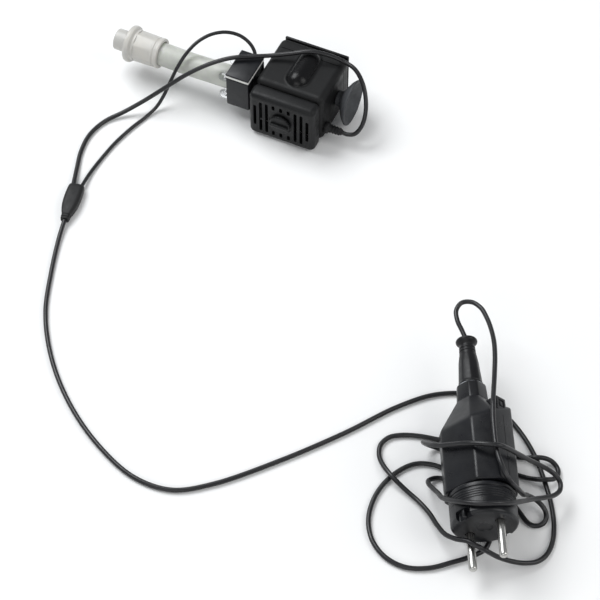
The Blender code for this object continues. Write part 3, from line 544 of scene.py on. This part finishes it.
# In the supply's floor frame: from the splice to the supply, wound round it, into its boot
SUPPLY_CORD_ROUTE = [
    # round to the front and in under the boot
    (-210.5, 130, 1.8), (-213, 108, 1.3), (-214, 82, 1.3), (-209, 54, 1.3), (-198, 26, 1.3),
    (-182, 1, 1.3), (-164, -17, 1.3), (-146, -24, 1.3), (-127, -21, 1.3), (-95, -8, 1.3),
    (-62, 8.6, 1.3), (-36, 23.8, 1.3), (-17, 31, 1.3), (0, 31, 1.3), (11, 24.8, 1.3),
    # forward on the right, and back to the left over the lower pin
    (19.5, 15, 1.3), (25.5, 4.8, 1.3), (30, -6.4, 1.3), (33.2, -19.4, 1.3), (35.4, -32.1, 1.3),
    (35.9, -44, 1.3), (34.4, -53.7, 1.3), (31, -60.6, 1.6), (26.3, -64.6, 2.6), (19.9, -66.4, 4.4),
    (13.2, -67, 7.4), (6.8, -66.8, 11.2), (2, -66.2, 15), (-2.6, -64.6, 17), (-7, -61.8, 16.8),
    (-11.8, -59.2, 14.2), (-16.6, -54.6, 10.8), (-20, -47.6, 7.6), (-23.2, -39.4, 4.8), (-27.8, -31.6, 2.6),
    (-32.9, -26.1, 2.6),
    (-37.3, -21.7, 3.6), (-40.9, -17.3, 4.1), (-44.2, -11, 2.6), (-45.9, -4.4, 1.3), (-45, 1.4, 1.3),
    (-41, 5.6, 1.3), (-35.4, 7, 1.3), (-27, 6.6, 1.3), (-18, 4.7, 1.3),
    # under the body, a narrow turn on the right, and back under it
    (-7, 2, 1.3), (6, -1.6, 1.3), (18, -5.2, 1.3), (24.4, -7, 2.4), (30.6, -7.9, 4.1), (34.2, -8.1, 3.6),
    (37.3, -9.1, 2.6), (39.5, -11.3, 1.7), (40.3, -14.3, 1.5), (39.5, -17.4, 2), (37.2, -19.6, 3.1),
    (33.9, -20.5, 4.1), (30.3, -20.2, 3.8), (26.4, -18.8, 2.4),
    (19, -15.6, 1.3), (8, -10.8, 1.3), (-4, -6, 1.3), (-12, -2.6, 1.3),
    # up round the left side, over the body, and a wide turn on the right
    (-18, -0.6, 1.8), (-22, -0.7, 4.4), (-24.4, -2.4, 8.8), (-25, -5.4, 13.8), (-24.2, -9.4, 19),
    (-21.8, -13.2, 23.8), (-18.2, -16.2, 27.8), (-14, -18.4, 31.8), (-9.2, -20.8, 36.4), (-4.9, -22.8, 39.8),
    (-0.5, -24.3, 41.8), (3.8, -25.4, 42.7), (8.2, -25.7, 42.3), (12.8, -24.9, 38), (17.9, -23.7, 31.6),
    (23.5, -22.5, 24.8), (28.8, -21.6, 19.2), (33.6, -21.6, 14.8), (37.4, -23.2, 12), (39.4, -26.6, 10.6),
    (38.9, -30.4, 10.4), (36, -34, 12), (31.2, -37.4, 15.4), (25.4, -40.9, 19.8), (20.4, -44.8, 24.6),
    # over the drum near the pin face, down the left side, and under again to the front
    (16.4, -48.2, 29), (12.2, -51.3, 33.2), (7.2, -53.2, 36.4), (2.2, -53.9, 37.4), (-2.7, -53.7, 37),
    (-7.2, -52.4, 35.4), (-11.4, -49.9, 32.2), (-15.4, -46, 27.4), (-18.2, -41, 21.4), (-19.4, -35, 15.6),
    (-21.4, -29.4, 10.8), (-22.9, -24.4, 6.8), (-22.6, -20.4, 3.4), (-19.2, -17.9, 1.5), (-13.6, -18.6, 1.3),
    (-6.5, -24.4, 1.3), (-0.5, -33, 1.3), (4, -43, 1.3), (5.2, -50.8, 1.3), (2.6, -57, 1.3),
    # a wide bow on the left, under the body once more, and a small loop beside the drum
    (-4, -60.9, 1.3), (-13, -64, 1.3), (-24, -67.1, 1.3), (-35, -66.7, 1.3), (-44, -61.7, 1.3),
    (-50, -53.1, 1.3), (-52, -42.6, 1.3), (-50, -31.7, 1.3), (-44.8, -21.7, 1.3), (-36.4, -13.4, 1.3),
    (-28.4, -9.6, 1.3), (-20.6, -10, 1.3), (-11.2, -14.1, 1.3), (-0.6, -19.8, 1.3), (9.2, -25.6, 1.3),
    (16.6, -31.6, 1.3), (20.4, -37.6, 1.3), (22.9, -41.9, 1.3), (25.2, -44, 1.3), (28.1, -44.5, 1.3),
    (30.9, -43.2, 1.4), (32.4, -40.4, 1.8), (32.1, -37.2, 3), (29.8, -34.7, 5.2), (26.6, -33.8, 8.4),
    (23.2, -34.6, 12.6),
    (21.5, -37.6, 18),
    # up the drum's right side, back along the top, and round into the boot
    (19.6, -40.4, 23), (16.4, -41.4, 29.8), (12.8, -41, 35.2), (10.2, -38.2, 38.3), (8.6, -34, 39.6),
    (7.3, -29, 39.9), (6.6, -22.4, 39.9), (6.3, -15, 40.2), (6.3, -8, 40.7), (6.7, -1, 40.6),
    (7.7, 8.2, 38.8), (8.9, 18.9, 36.6), (9.9, 29.9, 35), (10.2, 39.9, 33.2), (9.4, 49.3, 31.4),
    (7.8, 57.4, 29.9), (5.4, 64, 28.9), (1.2, 68, 28.3), (-3.7, 68, 27.8), (-6.6, 64, 27.2),
    (-6.4, 58.4, 26.4), (-4.2, 52.6, 25.3),
]


def smooth_line(points, fine):
    """Points close together on a centripetal Catmull-Rom curve through the given ones."""
    points = [2 * points[0] - points[1]] + points + [2 * points[-1] - points[-2]]
    line = []
    for p0, p1, p2, p3 in zip(points, points[1:], points[2:], points[3:]):
        t1 = math.sqrt((p1 - p0).length)
        t2 = t1 + math.sqrt((p2 - p1).length)
        t3 = t2 + math.sqrt((p3 - p2).length)
        for i in range(fine):
            t = t1 + (t2 - t1) * i / fine
            a1 = p0.lerp(p1, t / t1)
            a2 = p1.lerp(p2, (t - t1) / (t2 - t1))
            a3 = p2.lerp(p3, (t - t2) / (t3 - t2))
            b1 = a1.lerp(a2, t / t2)
            b2 = a2.lerp(a3, (t - t1) / (t3 - t1))
            line.append(b1.lerp(b2, (t - t1) / (t2 - t1)))
    line.append(points[-2])
    return line


def cord_curve(name, node, points, radius, skin):
    """A round cord along a smooth line through the points, standing for its CAD tube."""
    line = smooth_line(points, 8)
    curve = bpy.data.curves.new(name, "CURVE")
    curve.dimensions = "3D"
    curve.bevel_depth = radius
    curve.bevel_resolution = 5
    curve.use_fill_caps = True
    spline = curve.splines.new("POLY")
    spline.points.add(len(line) - 1)
    for point, p in zip(spline.points, line):
        point.co = (*p, 1.0)
    spline.use_smooth = True
    curve.materials.append(skin)
    made = shown(name, curve)
    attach(made, "pump")
    stands_for(made, node)
    return made, line


SPLICE_AT = (-0.2055, 0.1540)
SPLICE_HEADING = (-0.22, -0.976)
SPLICE_HALF = Vector((0.0120, 0.0046, 0.0028))
SPLICE_ENTRY = 0.0023
SPLICE_TURN = math.atan2(SPLICE_HEADING[1], SPLICE_HEADING[0]) + VIEW_TURN
SPLICE = Matrix.Translation(on_floor(*SPLICE_AT, SPLICE_HALF.z)) @ Matrix.Rotation(SPLICE_TURN, 4, "Z")


def cords(m):
    entry = SPLICE_HALF.x + GAP
    gland_tip = PUMP_AT + Vector((0.0300 + GAP, -0.0075, 0.008))
    route = [gland_tip] + [PUMP_AT + MM * Vector(p) for p in PUMP_LEAD_ROUTE]
    route.append(SPLICE @ Vector((-entry, -SPLICE_ENTRY, 0)))
    lead, line = cord_curve("pump_lead_sheath", "pump_lead", route, 0.0012, m["cord"])

    light_side = PUMP_AT + Vector((-0.0300, -0.0052 + 0.0102 + GAP, 0.0220))
    route = [light_side] + [PUMP_AT + MM * Vector(p) for p in LIGHT_LEAD_ROUTE]
    route.append(SPLICE @ Vector((-entry, SPLICE_ENTRY, 0)))
    lead, line = cord_curve("light_lead_sheath", "light_lead", route, 0.0010, m["cord"])

    start = SPLICE @ Vector((entry, 0, 0))
    route = [start] + [on_floor(MM * a, MM * b, MM * z) for a, b, z in SUPPLY_CORD_ROUTE]
    route.append(SUPPLY @ Vector((BOOT_TIP - GAP, 0, 0)))
    cord, line = cord_curve("supply_cord_sheath", "supply_cord", route, 0.0012, m["cord"])


# ---------------------------------------------------------------- pump and light collar

def housing(m):
    body = box_mesh("housing", (-HOUSING_SIDE, -0.012, 0), (HOUSING_SIDE, 0.024, 0.032), 0.0035, 8)
    radius, far, near = 0.0072, 0.0128, -0.0018
    ends = [(far, 90 * i / 12) for i in range(13)] + [(near, 90 + 90 * i / 12) for i in range(13)]
    bulge = [(radius * math.sin(math.radians(t)), middle + radius * math.cos(math.radians(t)))
             for middle, t in ends]
    bulge[0], bulge[-1] = (0.0, far + radius), (0.0, near - radius)
    capsule = lathe_mesh("capsule", bulge, "Y", (0.001, 0, 0.0293), 48)
    boss = rod_mesh(0.0064, -0.0150, -0.0220, "X", (0, OUTLET_Y, OUTLET_Z), 48)
    solid = shaped(body, PUMP, plus(capsule), plus(boss))
    solid = modified(solid, ("REMESH", {"mode": "VOXEL", "voxel_size": 0.00045}),
                     ("SMOOTH", {"factor": 0.5, "iterations": 4}))
    # the rotor's well, the impeller's chamber and the seat of its cover
    wet = lathe_mesh("wet", [(0, 0.0165), (0.0060, 0.0165), (0.0060, -0.0015), (0.0104, -0.0015),
                             (0.0104, -0.0088), (0.0123, -0.0088), (0.0123, -0.0130), (0, -0.0130)], "Y",
                     ROTOR_AT, 64)
    duct = lathe_mesh("duct", [(0, -0.009), (0.0034, -0.009), (0.0034, -0.0177), (0.0051, -0.0177),
                               (0.0051, -0.0230), (0, -0.0230)], "X", (0, OUTLET_Y, OUTLET_Z), 48)
    foot = rod_mesh(0.0036, 0.0166, 0.0210, "X", FOOT_AT, 40)
    gland = rod_mesh(0.0028, 0.0145, 0.0210, "X", GLAND_AT, 40)
    # the motor's room, round the wall of the rotor's well
    rear = shaped(box_mesh("rear", (-0.018, 0.0010, 0.002), (0.0152, 0.0250, 0.030)), Matrix.Identity(4),
                  less(rod_mesh(0.0070, 0.0178, -0.0010, "Y", ROTOR_AT, 64)))
    core = box_mesh("core", (-0.01965, 0.0150, 0.00035), (0.01965, 0.0166, 0.03165), 0.003, 6)
    groove = shaped(box_mesh("line", (-0.0215, 0.0156, -0.001), (0.0215, 0.0160, 0.0330)),
                    Matrix.Identity(4), less(core))
    solid = shaped(solid, PUMP, *(less(cutter) for cutter in (wet, duct, foot, gland, rear, groove)))
    stands_for(placed("housing_shell", solid, m["housing"], PUMP, sharp=38), "motor_housing")


def rear_cover(m):
    """The back plate, with a raised rim and four screw wells."""
    plate = box_mesh("plate", (-0.0190, 0.0243, 0.0010), (0.0190, 0.0260, 0.0310), 0.0008, 3)
    steps = [less(box_mesh("dish", (-0.0172, 0.0256, 0.0028), (0.0172, 0.0270, 0.0292), 0.0003, 2))]
    steps += [less(rod_mesh(0.0016, 0.0249, 0.0270, "Y", (side * 0.0148, 0, z), 32))
              for side in (-1, 1) for z in (0.0052, 0.0268)]
    plate = edged(shaped(plate, PUMP, *steps), 0.00015)
    stands_for(placed("rear_cover_plate", plate, m["cover"], PUMP, sharp=38), "rear_cover")


def intake(m):
    shell = box_mesh("cover", (-0.0194, -0.0220, 0.0006), (0.0194, -0.0123, 0.0314), 0.0030, 6)
    steps = [less(box_mesh("room", (-0.0178, -0.0205, 0.0022), (0.0178, -0.008, 0.0298), 0.0012, 3))]
    # three tall slits on each side of the knob, the outer ones shorter, and short ones above and below it
    slits = [(x, 0.0085, 0.0235) if abs(x) > 0.015 else (x, 0.0050, 0.0270)
             for x in (-0.0155, -0.0120, -0.0085, 0.0085, 0.0120, 0.0155)]
    slits += [(x, lo, hi) for x in (-0.0045, 0.0, 0.0045) for lo, hi in ((0.0045, 0.0078), (0.0242, 0.0275))]
    steps += [less(box_mesh("slit", (x - 0.0009, -0.0230, lo), (x + 0.0009, -0.0195, hi), 0.0008, 3))
              for x, lo, hi in slits]
    steps.append(less(rod_mesh(0.0025, -0.0195, -0.0230, "Y", KNOB_AT, 40)))
    # a shallow round dish for the knob
    dish = [(0, -0.02175), (0.0066, -0.02175), (0.0070, -0.0225), (0, -0.0225)]
    steps.append(less(lathe_mesh("dish", dish, "Y", KNOB_AT, 56)))
    # thumb recesses in the two ends
    steps += [less(box_mesh("thumb", (side * 0.0200 - 0.0008, -0.0190, 0.0100),
                            (side * 0.0200 + 0.0008, -0.0160, 0.0220), 0.0005, 2)) for side in (-1, 1)]
    shell = edged(shaped(shell, PUMP, *steps), 0.0002)
    stands_for(placed("intake_cover_shell", shell, m["cover"], PUMP, "cover", 38), "intake_cover")


def regulator(m):
    profile = [(0, -0.0192), (0.0074, -0.0192), (0.0074, -0.0202), (0.0022, -0.0202), (0.0022, -0.0223),
               (0.0056, -0.0223), (0.0060, -0.0227), (0.0060, -0.0236), (0.0055, -0.0241), (0, -0.0241)]
    knob = lathe_mesh("knob", softened(profile, 0.0003, 3), "Y", KNOB_AT, 72)
    steps = [plus(box_mesh("grip", (-0.0052, -0.0256, 0.0151), (0.0052, -0.0238, 0.0169), 0.0005, 3))]
    for i in range(24):
        t = 2 * math.pi * i / 24
        rim = (0.00605 * math.cos(t), 0, 0.016 + 0.00605 * math.sin(t))
        steps.append(less(rod_mesh(0.00028, -0.0222, -0.0245, "Y", rim, 8)))
    steps += [less(box_mesh("port", (side * 0.0049 - 0.0016, -0.0206, 0.0130),
                            (side * 0.0049 + 0.0016, -0.0188, 0.0190), 0.0004, 2)) for side in (-1, 1)]
    knob = shaped(knob, PUMP, *steps)
    stands_for(placed("regulator_knob", knob, m["cover"], PUMP, "regulator", 35), "flow_regulator")


def foot_and_gland(m):
    face = HOUSING_SIDE
    profile = [(0, face + 0.0056), (0.0030, face + 0.0056), (0.0045, face + 0.0060), (0.0105, face + 0.0086),
               (0.0124, face + 0.0096), (0.0129, face + 0.0096), (0.0130, face + 0.0092),
               (0.0129, face + 0.0086), (0.0118, face + 0.0075), (0.0108, face + 0.0066),
               (0.0100, face + 0.0063), (0.0086, face + 0.0052), (0.0066, face + 0.0042),
               (0.0050, face + 0.0032), (0.0044, face + 0.0022), (0.0044, face + GAP), (0.0033, face + GAP),
               (0.0033, face - 0.0030), (0, face - 0.0030)]
    made = lathe("suction_foot_rubber", profile, "X", FOOT_AT, m["foot"], PUMP, soft=0.0006, steps=80,
                 sharp=60)
    stands_for(made, "suction_foot")

    ribs = []
    for i in range(4):
        h = face + 0.0028 + 0.0017 * i
        r = 0.0024 - 0.00008 * i
        ribs = [(r - 0.0004, h + 0.0017), (r - 0.0004, h + 0.0010), (r, h + 0.0009), (r, h)] + ribs
    profile = ([(0, face + 0.0100), (0.0015, face + 0.0100), (0.0018, face + 0.0096)] + ribs
               + [(0.0025, face + 0.0024), (0.0034, face + 0.0020), (0.0034, face + GAP),
                  (0.0025, face + GAP), (0.0025, face - 0.0050), (0, face - 0.0050)])
    made = lathe("gland_boot", profile, "X", GLAND_AT, m["gland"], PUMP, soft=0.00022, steps=48)
    stands_for(made, "cord_gland")


def light_collar(m):
    y, z, half = OUTLET_Y, OUTLET_Z, 0.0102
    front, back = LIGHT_FRONT, LIGHT_BACK
    base = box_mesh("base", (front, y - half, z - half), (back, y + half, z + 0.0100), 0.0008, 3)
    steps = [less(rod_mesh(0.0051, back + 0.001, front - 0.001, "X", (0, y, z), 64)),
             less(box_mesh("room", (-0.0252, y - half + 0.0012, z - half + 0.0012),
                           (back + 0.0005, y + half - 0.0012, z + 0.0088)))]
    centres = [(y + side * 0.0067, z + up * 0.0067) for up in (1, -1) for side in (1, -1)]
    well = [(0, -0.0245), (0.0028, -0.0245), (0.0028, -0.0355), (0.0031, -0.0365), (0, -0.0365)]
    steps += [less(lathe_mesh("well", well, "X", (0, cy, cz), 36)) for cy, cz in centres]
    steps.append(less(rod_mesh(0.0014, y + half - 0.004, y + half + 0.001, "Y", (-0.030, 0, z + 0.003), 24)))
    base = edged(shaped(base, PUMP, *steps), 0.00018)
    stands_for(placed("light_base_block", base, m["light"], PUMP, sharp=38), "light_base")

    lid = box_mesh("lid", (front, y - half, z + 0.0118), (back, y + half, z + 0.0130), 0.0004, 3)
    stands_for(placed("light_lid_plate", lid, m["light"], PUMP, sharp=50), "light_lid")
    bead = box_mesh("bead", (front + 0.0001, y - half + 0.0001, z + 0.0101),
                    (back - 0.0001, y + half - 0.0001, z + 0.0117), 0.0005, 3)
    stands_for(placed("light_seal_bead", bead, m["bead"], PUMP, sharp=60), "light_seal")

    dome = [(0.0, -0.0415)] + [(0.0025 * math.sin(t), -0.0390 - 0.0025 * math.cos(t))
                               for t in (math.radians(10 * j) for j in range(1, 10))]
    lens = dome + [(0.0025, -0.0362), (0.0025, -0.0247), (0.0023, -0.0246), (0, -0.0246)]
    cup = [(0, -0.0372), (0.0006, -0.0372), (0.0009, -0.0381), (0.0010, -0.0381), (0.0008, -0.0368),
           (0.0008, -0.0330), (0, -0.0330)]
    for i, (cy, cz) in enumerate(centres, 1):
        lamp = lathe("lamp_resin_%d" % i, lens, "X", (0, cy, cz), m["resin"], PUMP, steps=40, sharp=50)
        stands_for(lamp, "lamp_%d" % i)
        # the two metal posts, the larger one with its cup, and the chip in the cup
        plate = box_mesh("plate", (-0.0372, cy - 0.0001, cz - 0.0002), (-0.0252, cy + 0.0013, cz + 0.0002),
                         0.00008, 1)
        anvil = shaped(lathe_mesh("anvil", cup, "X", (0, cy + 0.0004, cz), 24), Matrix.Identity(4),
                       plus(plate))
        post = box_mesh("post", (-0.0376, cy - 0.0012, cz - 0.0002), (-0.0252, cy - 0.0006, cz + 0.0002),
                        0.0001, 1)
        chip = box_mesh("chip", (-0.0379, cy + 0.0001, cz - 0.0003), (-0.0375, cy + 0.0007, cz + 0.0003),
                        0.0001, 1)
        for name, mesh, skin in (("anvil", anvil, "leads"), ("post", post, "leads"),
                                 ("chip", chip, "phosphor")):
            placed("lamp_%s_%d" % (name, i), mesh, m[skin], PUMP, sharp=40)


def hose_and_fitting(m):
    steps, along = 64, 44
    line = [(0.0052, 0.0), (0.0062, 0.0)] + [(HOSE_R, i / along) for i in range(along + 1)]
    line += [(0.0062, 1.0), (0.0052, 1.0)] + [(HOSE_BORE, 1 - i / along) for i in range(along + 1)]
    build = bmesh.new()
    rings = []
    for r, t in line:
        x = HOSE_START + (HOSE_END - HOSE_START) * t
        # pressed outwards a little over the barbs, and bowed very slightly between its two ends
        if r > 0.006:
            r += sum(0.00012 * math.exp(-((x + barb) / 0.0016) ** 2) for barb in (0.0405, 0.044))
        sag = -0.0006 * math.sin(math.pi * t) ** 2
        rings.append([build.verts.new((x, OUTLET_Y + r * math.cos(a), OUTLET_Z + sag + r * math.sin(a)))
                      for a in (2 * math.pi * k / steps for k in range(steps))])
    bridged(build, rings + rings[:1])
    stands_for(placed("hose_tube", as_mesh("hose", build), m["hose"], PUMP), "hose")

    mouth, tail = -0.0800, -0.1080
    profile = [(0.0083, mouth), (0.0086, mouth - 0.0005), (0.0086, mouth - 0.0020), (0.0082, mouth - 0.0022),
               (0.0082, mouth - 0.0032), (0.0085, mouth - 0.0034), (0.0088, -0.0950), (0.0088, -0.0962),
               (0.0102, -0.0972), (0.0105, -0.0986), (0.0102, -0.1000), (0.0062, -0.1000), (0.0060, -0.1006),
               (0.0060, tail + 0.0004), (0.0058, tail), (0.0046, tail), (0.0046, -0.0894), (0.0068, -0.0893),
               (0.0068, mouth)]
    at = (0, OUTLET_Y, OUTLET_Z)
    body = lathe_mesh("fitting", softened(profile, 0.0003, 3, True), "X", at, 96, True)
    cuts = []
    # eight grip flats round the middle
    for i in range(8):
        flat = box_mesh("flat", (-0.0950, -0.0045, 0.00815), (-0.0842, 0.0045, 0.0100), 0.0002, 1)
        turn = math.radians(45 * i + 22.5) - math.pi / 2
        flat.transform(Matrix.Translation(at) @ Matrix.Rotation(turn, 4, "X"))
        cuts.append(less(flat))
    body = edged(shaped(body, PUMP, *cuts), 0.0001)
    stands_for(placed("lid_fitting_body", body, m["fitting"], PUMP, sharp=32), "lid_fitting")


# ---------------------------------------------------------------- splice and power supply

def lead_splice(m):
    build = bmesh.new()
    stations = [(-1.0, 0.80, 0.72), (-0.97, 0.88, 0.82), (-0.90, 0.94, 0.90), (-0.72, 0.98, 0.98),
                (-0.45, 1.0, 1.0), (-0.10, 0.99, 1.0), (0.20, 0.92, 0.98), (0.45, 0.78, 0.92),
                (0.62, 0.66, 0.84), (0.70, 0.55, 0.78), (0.74, 0.55, 0.78), (0.76, 0.47, 0.66),
                (0.81, 0.47, 0.66), (0.83, 0.53, 0.76), (0.87, 0.53, 0.76), (0.89, 0.45, 0.64),
                (0.94, 0.45, 0.64), (0.96, 0.50, 0.72), (1.0, 0.47, 0.66)]
    rings = []
    for along, wide, high in stations:
        ring = []
        for k in range(40):
            t = 2 * math.pi * k / 40
            c, s = math.cos(t), math.sin(t)
            # a rounded-box section
            power = 0.55
            ring.append(build.verts.new((along * SPLICE_HALF.x,
                                         wide * SPLICE_HALF.y * math.copysign(abs(c) ** power, c),
                                         high * SPLICE_HALF.z * math.copysign(abs(s) ** power, s))))
        rings.append(ring)
    bridged(build, rings)
    build.faces.new(list(reversed(rings[0])))
    build.faces.new(rings[-1])
    made = placed("lead_splice_moulding", as_mesh("splice", build), m["gland"], SPLICE, sharp=35)
    return stands_for(made, "lead_splice")


def rounded_octagon(x, half_w, half_h, chamfer, radius):
    """Points round a chamfered rectangle with eased corners, across the supply's axis."""
    flat_w, flat_h = half_w - chamfer, half_h - chamfer
    quarter = [(half_w, -flat_h), (half_w, flat_h), (flat_w, half_h), (-flat_w, half_h)]
    corners = [Vector((0, a, b)) for a, b in quarter] + [Vector((0, -a, -b)) for a, b in quarter]
    return [Vector((x, p.y, p.z)) for p in softened(corners, radius, closed=True)]


def loft_mesh(name, sections):
    build = bmesh.new()
    loops = [[build.verts.new(p) for p in section] for section in sections]
    bridged(build, loops)
    build.faces.new(loops[-1])
    build.faces.new(list(reversed(loops[0])))
    return as_mesh(name, build)


def body_at(x, less_by=0.0, lean=0.0):
    """A section of the supply's box, leaning so that its top is further forward."""
    ring = rounded_octagon(x, BODY_HALF_W - less_by, BODY_HALF_H - less_by, BODY_CHAMFER - 0.586 * less_by,
                           0.0010)
    return [Vector((p.x + lean * p.z, p.y, p.z)) for p in ring]


def collar_at(x, less_by):
    return rounded_octagon(x, COLLAR_HALF - less_by, COLLAR_HALF - 0.0002 - less_by, 0.0030, 0.0009)


def rear_casing(m):
    sections = [collar_at(BOOT_START + GAP, 0.0010), collar_at(BOOT_START + 0.0005, 0.0006),
                collar_at(BOOT_START + 0.0011, 0.0004), collar_at(BODY_BACK - 0.0012, 0.0001),
                collar_at(BODY_BACK - 0.0004, 0.0), collar_at(BODY_BACK, 0.0)]
    first, last = sections[-1], body_at(SHOULDER_X, 0.0, SHOULDER_LEAN)
    for t in (0.03, 0.12, 0.5, 0.88):
        sections.append([a.lerp(b, t) for a, b in zip(first, last)])
    sections.append([a.lerp(b, 0.965) + Vector((0.0001, 0, 0)) for a, b in zip(first, last)])
    sections += [body_at(-0.0031, 0.0001, SHOULDER_LEAN), body_at(-0.0022, 0.0, SHOULDER_LEAN),
                 body_at(0.0100), body_at(0.0230), body_at(DRUM_BACK - 0.0013),
                 body_at(DRUM_BACK - 0.0008, 0.0001), body_at(DRUM_BACK - GAP, 0.0006)]
    # the moulding line along the two narrow sides
    steps = [less(box_mesh("line", (0.0, side * BODY_HALF_W - 0.00018, -0.00015),
                           (DRUM_BACK + 0.001, side * BODY_HALF_W + 0.00018, 0.00015))) for side in (-1, 1)]
    # a screw lug in the corner beside the shoulder, with a square plug in it
    steps += [plus(box_mesh("lug", (-0.0098, 0.0090, -0.0033), (-0.0010, 0.0172, 0.0033), 0.0004, 3)),
              less(box_mesh("well", (-0.0084, 0.0166, -0.0020), (-0.0044, 0.0180, 0.0020), 0.0002, 2)),
              plus(box_mesh("plug", (-0.0076, 0.0150, -0.0012), (-0.0052, 0.0170, 0.0012), 0.0002, 2))]
    # the room for the transformer
    room = [rounded_octagon(BODY_BACK + 0.0020, 0.0050, 0.0046, 0.0015, 0.0003),
            body_at(SHOULDER_X + 0.0010, BODY_THICK, SHOULDER_LEAN), body_at(DRUM_BACK + 0.0010, BODY_THICK)]
    steps.append(less(loft_mesh("room", room)))
    rear = shaped(loft_mesh("rear_shell", sections), SUPPLY, *steps)
    return stands_for(placed("supply_rear_casing", rear, m["supply"], SUPPLY, sharp=28),
                      "supply_rear_shell")


def front_casing(m):
    r, face = DRUM_R, FACE_X
    # one wide groove at the back of the drum and four fine ones, listed from the front
    grooves = []
    for x, deep, wide in ((0.0390, 0.00040, 0.0004), (0.0408, 0.00016, 0.0002), (0.0420, 0.00016, 0.0002),
                          (0.0432, 0.00016, 0.0002), (0.0444, 0.00016, 0.0002)):
        grooves = [(r, x + wide + 0.0001), (r - deep, x + wide), (r - deep, x), (r, x - 0.0001)] + grooves
    profile = ([(0, face - 0.0006), (0.0036, face - 0.0006), (0.0040, face), (r - 0.0013, face),
                (r - 0.0005, face - 0.0004), (r, face - 0.0013)] + grooves
               + [(r, DRUM_BACK + 0.0006), (r - 0.0004, DRUM_BACK), (0.0120, DRUM_BACK),
                  (0.0120, face - 0.0035), (0, face - 0.0035)])
    drum = lathe_mesh("drum", softened(profile, 0.00020, 2), "X", (0, 0, 0), 120)
    steps = []
    for side in (-1, 1):
        steps.append(less(rod_mesh(PIN_R + GAP, face - 0.006, face + 0.001, "X",
                                   (0, side * PIN_SPACING / 2, 0), 40)))
        # a recess on each side of the pins, with a low rib along its middle
        low, high = sorted((side * 0.0129, side * 0.0178))
        steps.append(less(box_mesh("notch", (face - 0.0040, -0.0042, low), (face + 0.002, 0.0042, high),
                                   0.0005, 3)))
        low, high = sorted((side * 0.0122, side * 0.0153))
        steps.append(plus(box_mesh("rib", (face - 0.0050, -0.0007, low), (face - 0.0005, 0.0007, high),
                                   0.0003, 2)))
    drum = edged(shaped(drum, SUPPLY, *steps), 0.00015)
    return stands_for(placed("supply_front_casing", drum, m["supply"], SUPPLY, sharp=32),
                      "supply_front_shell")


def contact_pins(m):
    tip, end = 0.0015, FACE_X + PIN_LEN
    angles = [math.radians(90 * j / 8) for j in range(9)]
    profile = ([(0, end)] + [(0.0005 + tip * math.sin(t), end - tip * (1 - math.cos(t))) for t in angles]
               + [(PIN_R, FACE_X - 0.0040), (0.0018, FACE_X - 0.0045), (0, FACE_X - 0.0045)])
    return [stands_for(lathe(name + "_contact", profile, "X", (0, side * PIN_SPACING / 2, 0), m["pins"],
                             SUPPLY, steps=56, own_frame=True), name)
            for side, name in ((-1, "pin_left"), (1, "pin_right"))]


def supply_boot(m):
    start, end = BOOT_START, BOOT_TIP
    # three ribs near the flange, listed from the collar's end
    ribs = []
    for i in range(3):
        x = end + 0.0046 + 0.0017 * i
        r = 0.0040 + 0.00008 * i
        ribs = [(r, x + 0.0009), (r, x), (r - 0.0004, x - 0.0001), (r - 0.0004, x - 0.0007)] + ribs
    profile = ([(0, start), (0.0056, start), (0.0060, start - 0.0004), (0.0060, start - 0.0010),
                (0.0058, start - 0.0024), (0.0050, start - 0.0130), (0.0044, end + 0.0100)] + ribs
               + [(0.0036, end + 0.0034), (0.0042, end + 0.0028), (0.0051, end + 0.0020),
                  (0.0054, end + 0.0012), (0.0052, end + 0.0004), (0.0046, end), (0, end)])
    mesh = lathe_mesh("boot", softened(profile, 0.0004, 3), "X", (0, 0, 0), 64)
    # faint facets along the taper
    for vertex in mesh.vertices:
        p = vertex.co
        if end + 0.0105 < p.x < start - 0.0012:
            flat = 1.0 - 0.035 * abs(math.sin(4 * math.atan2(p.z, p.y)))
            p.y, p.z = p.y * flat, p.z * flat
    made = stands_for(placed("supply_boot_moulding", mesh, m["boot"], SUPPLY, sharp=60), "supply_boot")
    line = [(0.0061, start + 0.00045), (0.00625, start + 0.0003), (0.00625, start + 0.0001),
            (0.0061, start - 0.00005), (0.0055, start - 0.00005), (0.0055, start + 0.00045)]
    seam = lathe("boot_seam_ring", line, "X", (0, 0, 0), m["seam"], SUPPLY, steps=64, closed=True)
    return [made, seam]


# ---------------------------------------------------------------- the whole

def dress_cad(m):
    for node, skin in CAD_SKINS.items():
        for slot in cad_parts[node].material_slots:
            slot.material = m[skin]


camera()
studio()
SKINS = make_materials()
for make in (dress_cad, housing, rear_cover, intake, regulator, foot_and_gland, light_collar,
             hose_and_fitting):
    make(SKINS)
SPLICE_PIECE = lead_splice(SKINS)
SUPPLY_PIECES = [rear_casing(SKINS), front_casing(SKINS), *contact_pins(SKINS), *supply_boot(SKINS)]
cords(SKINS)
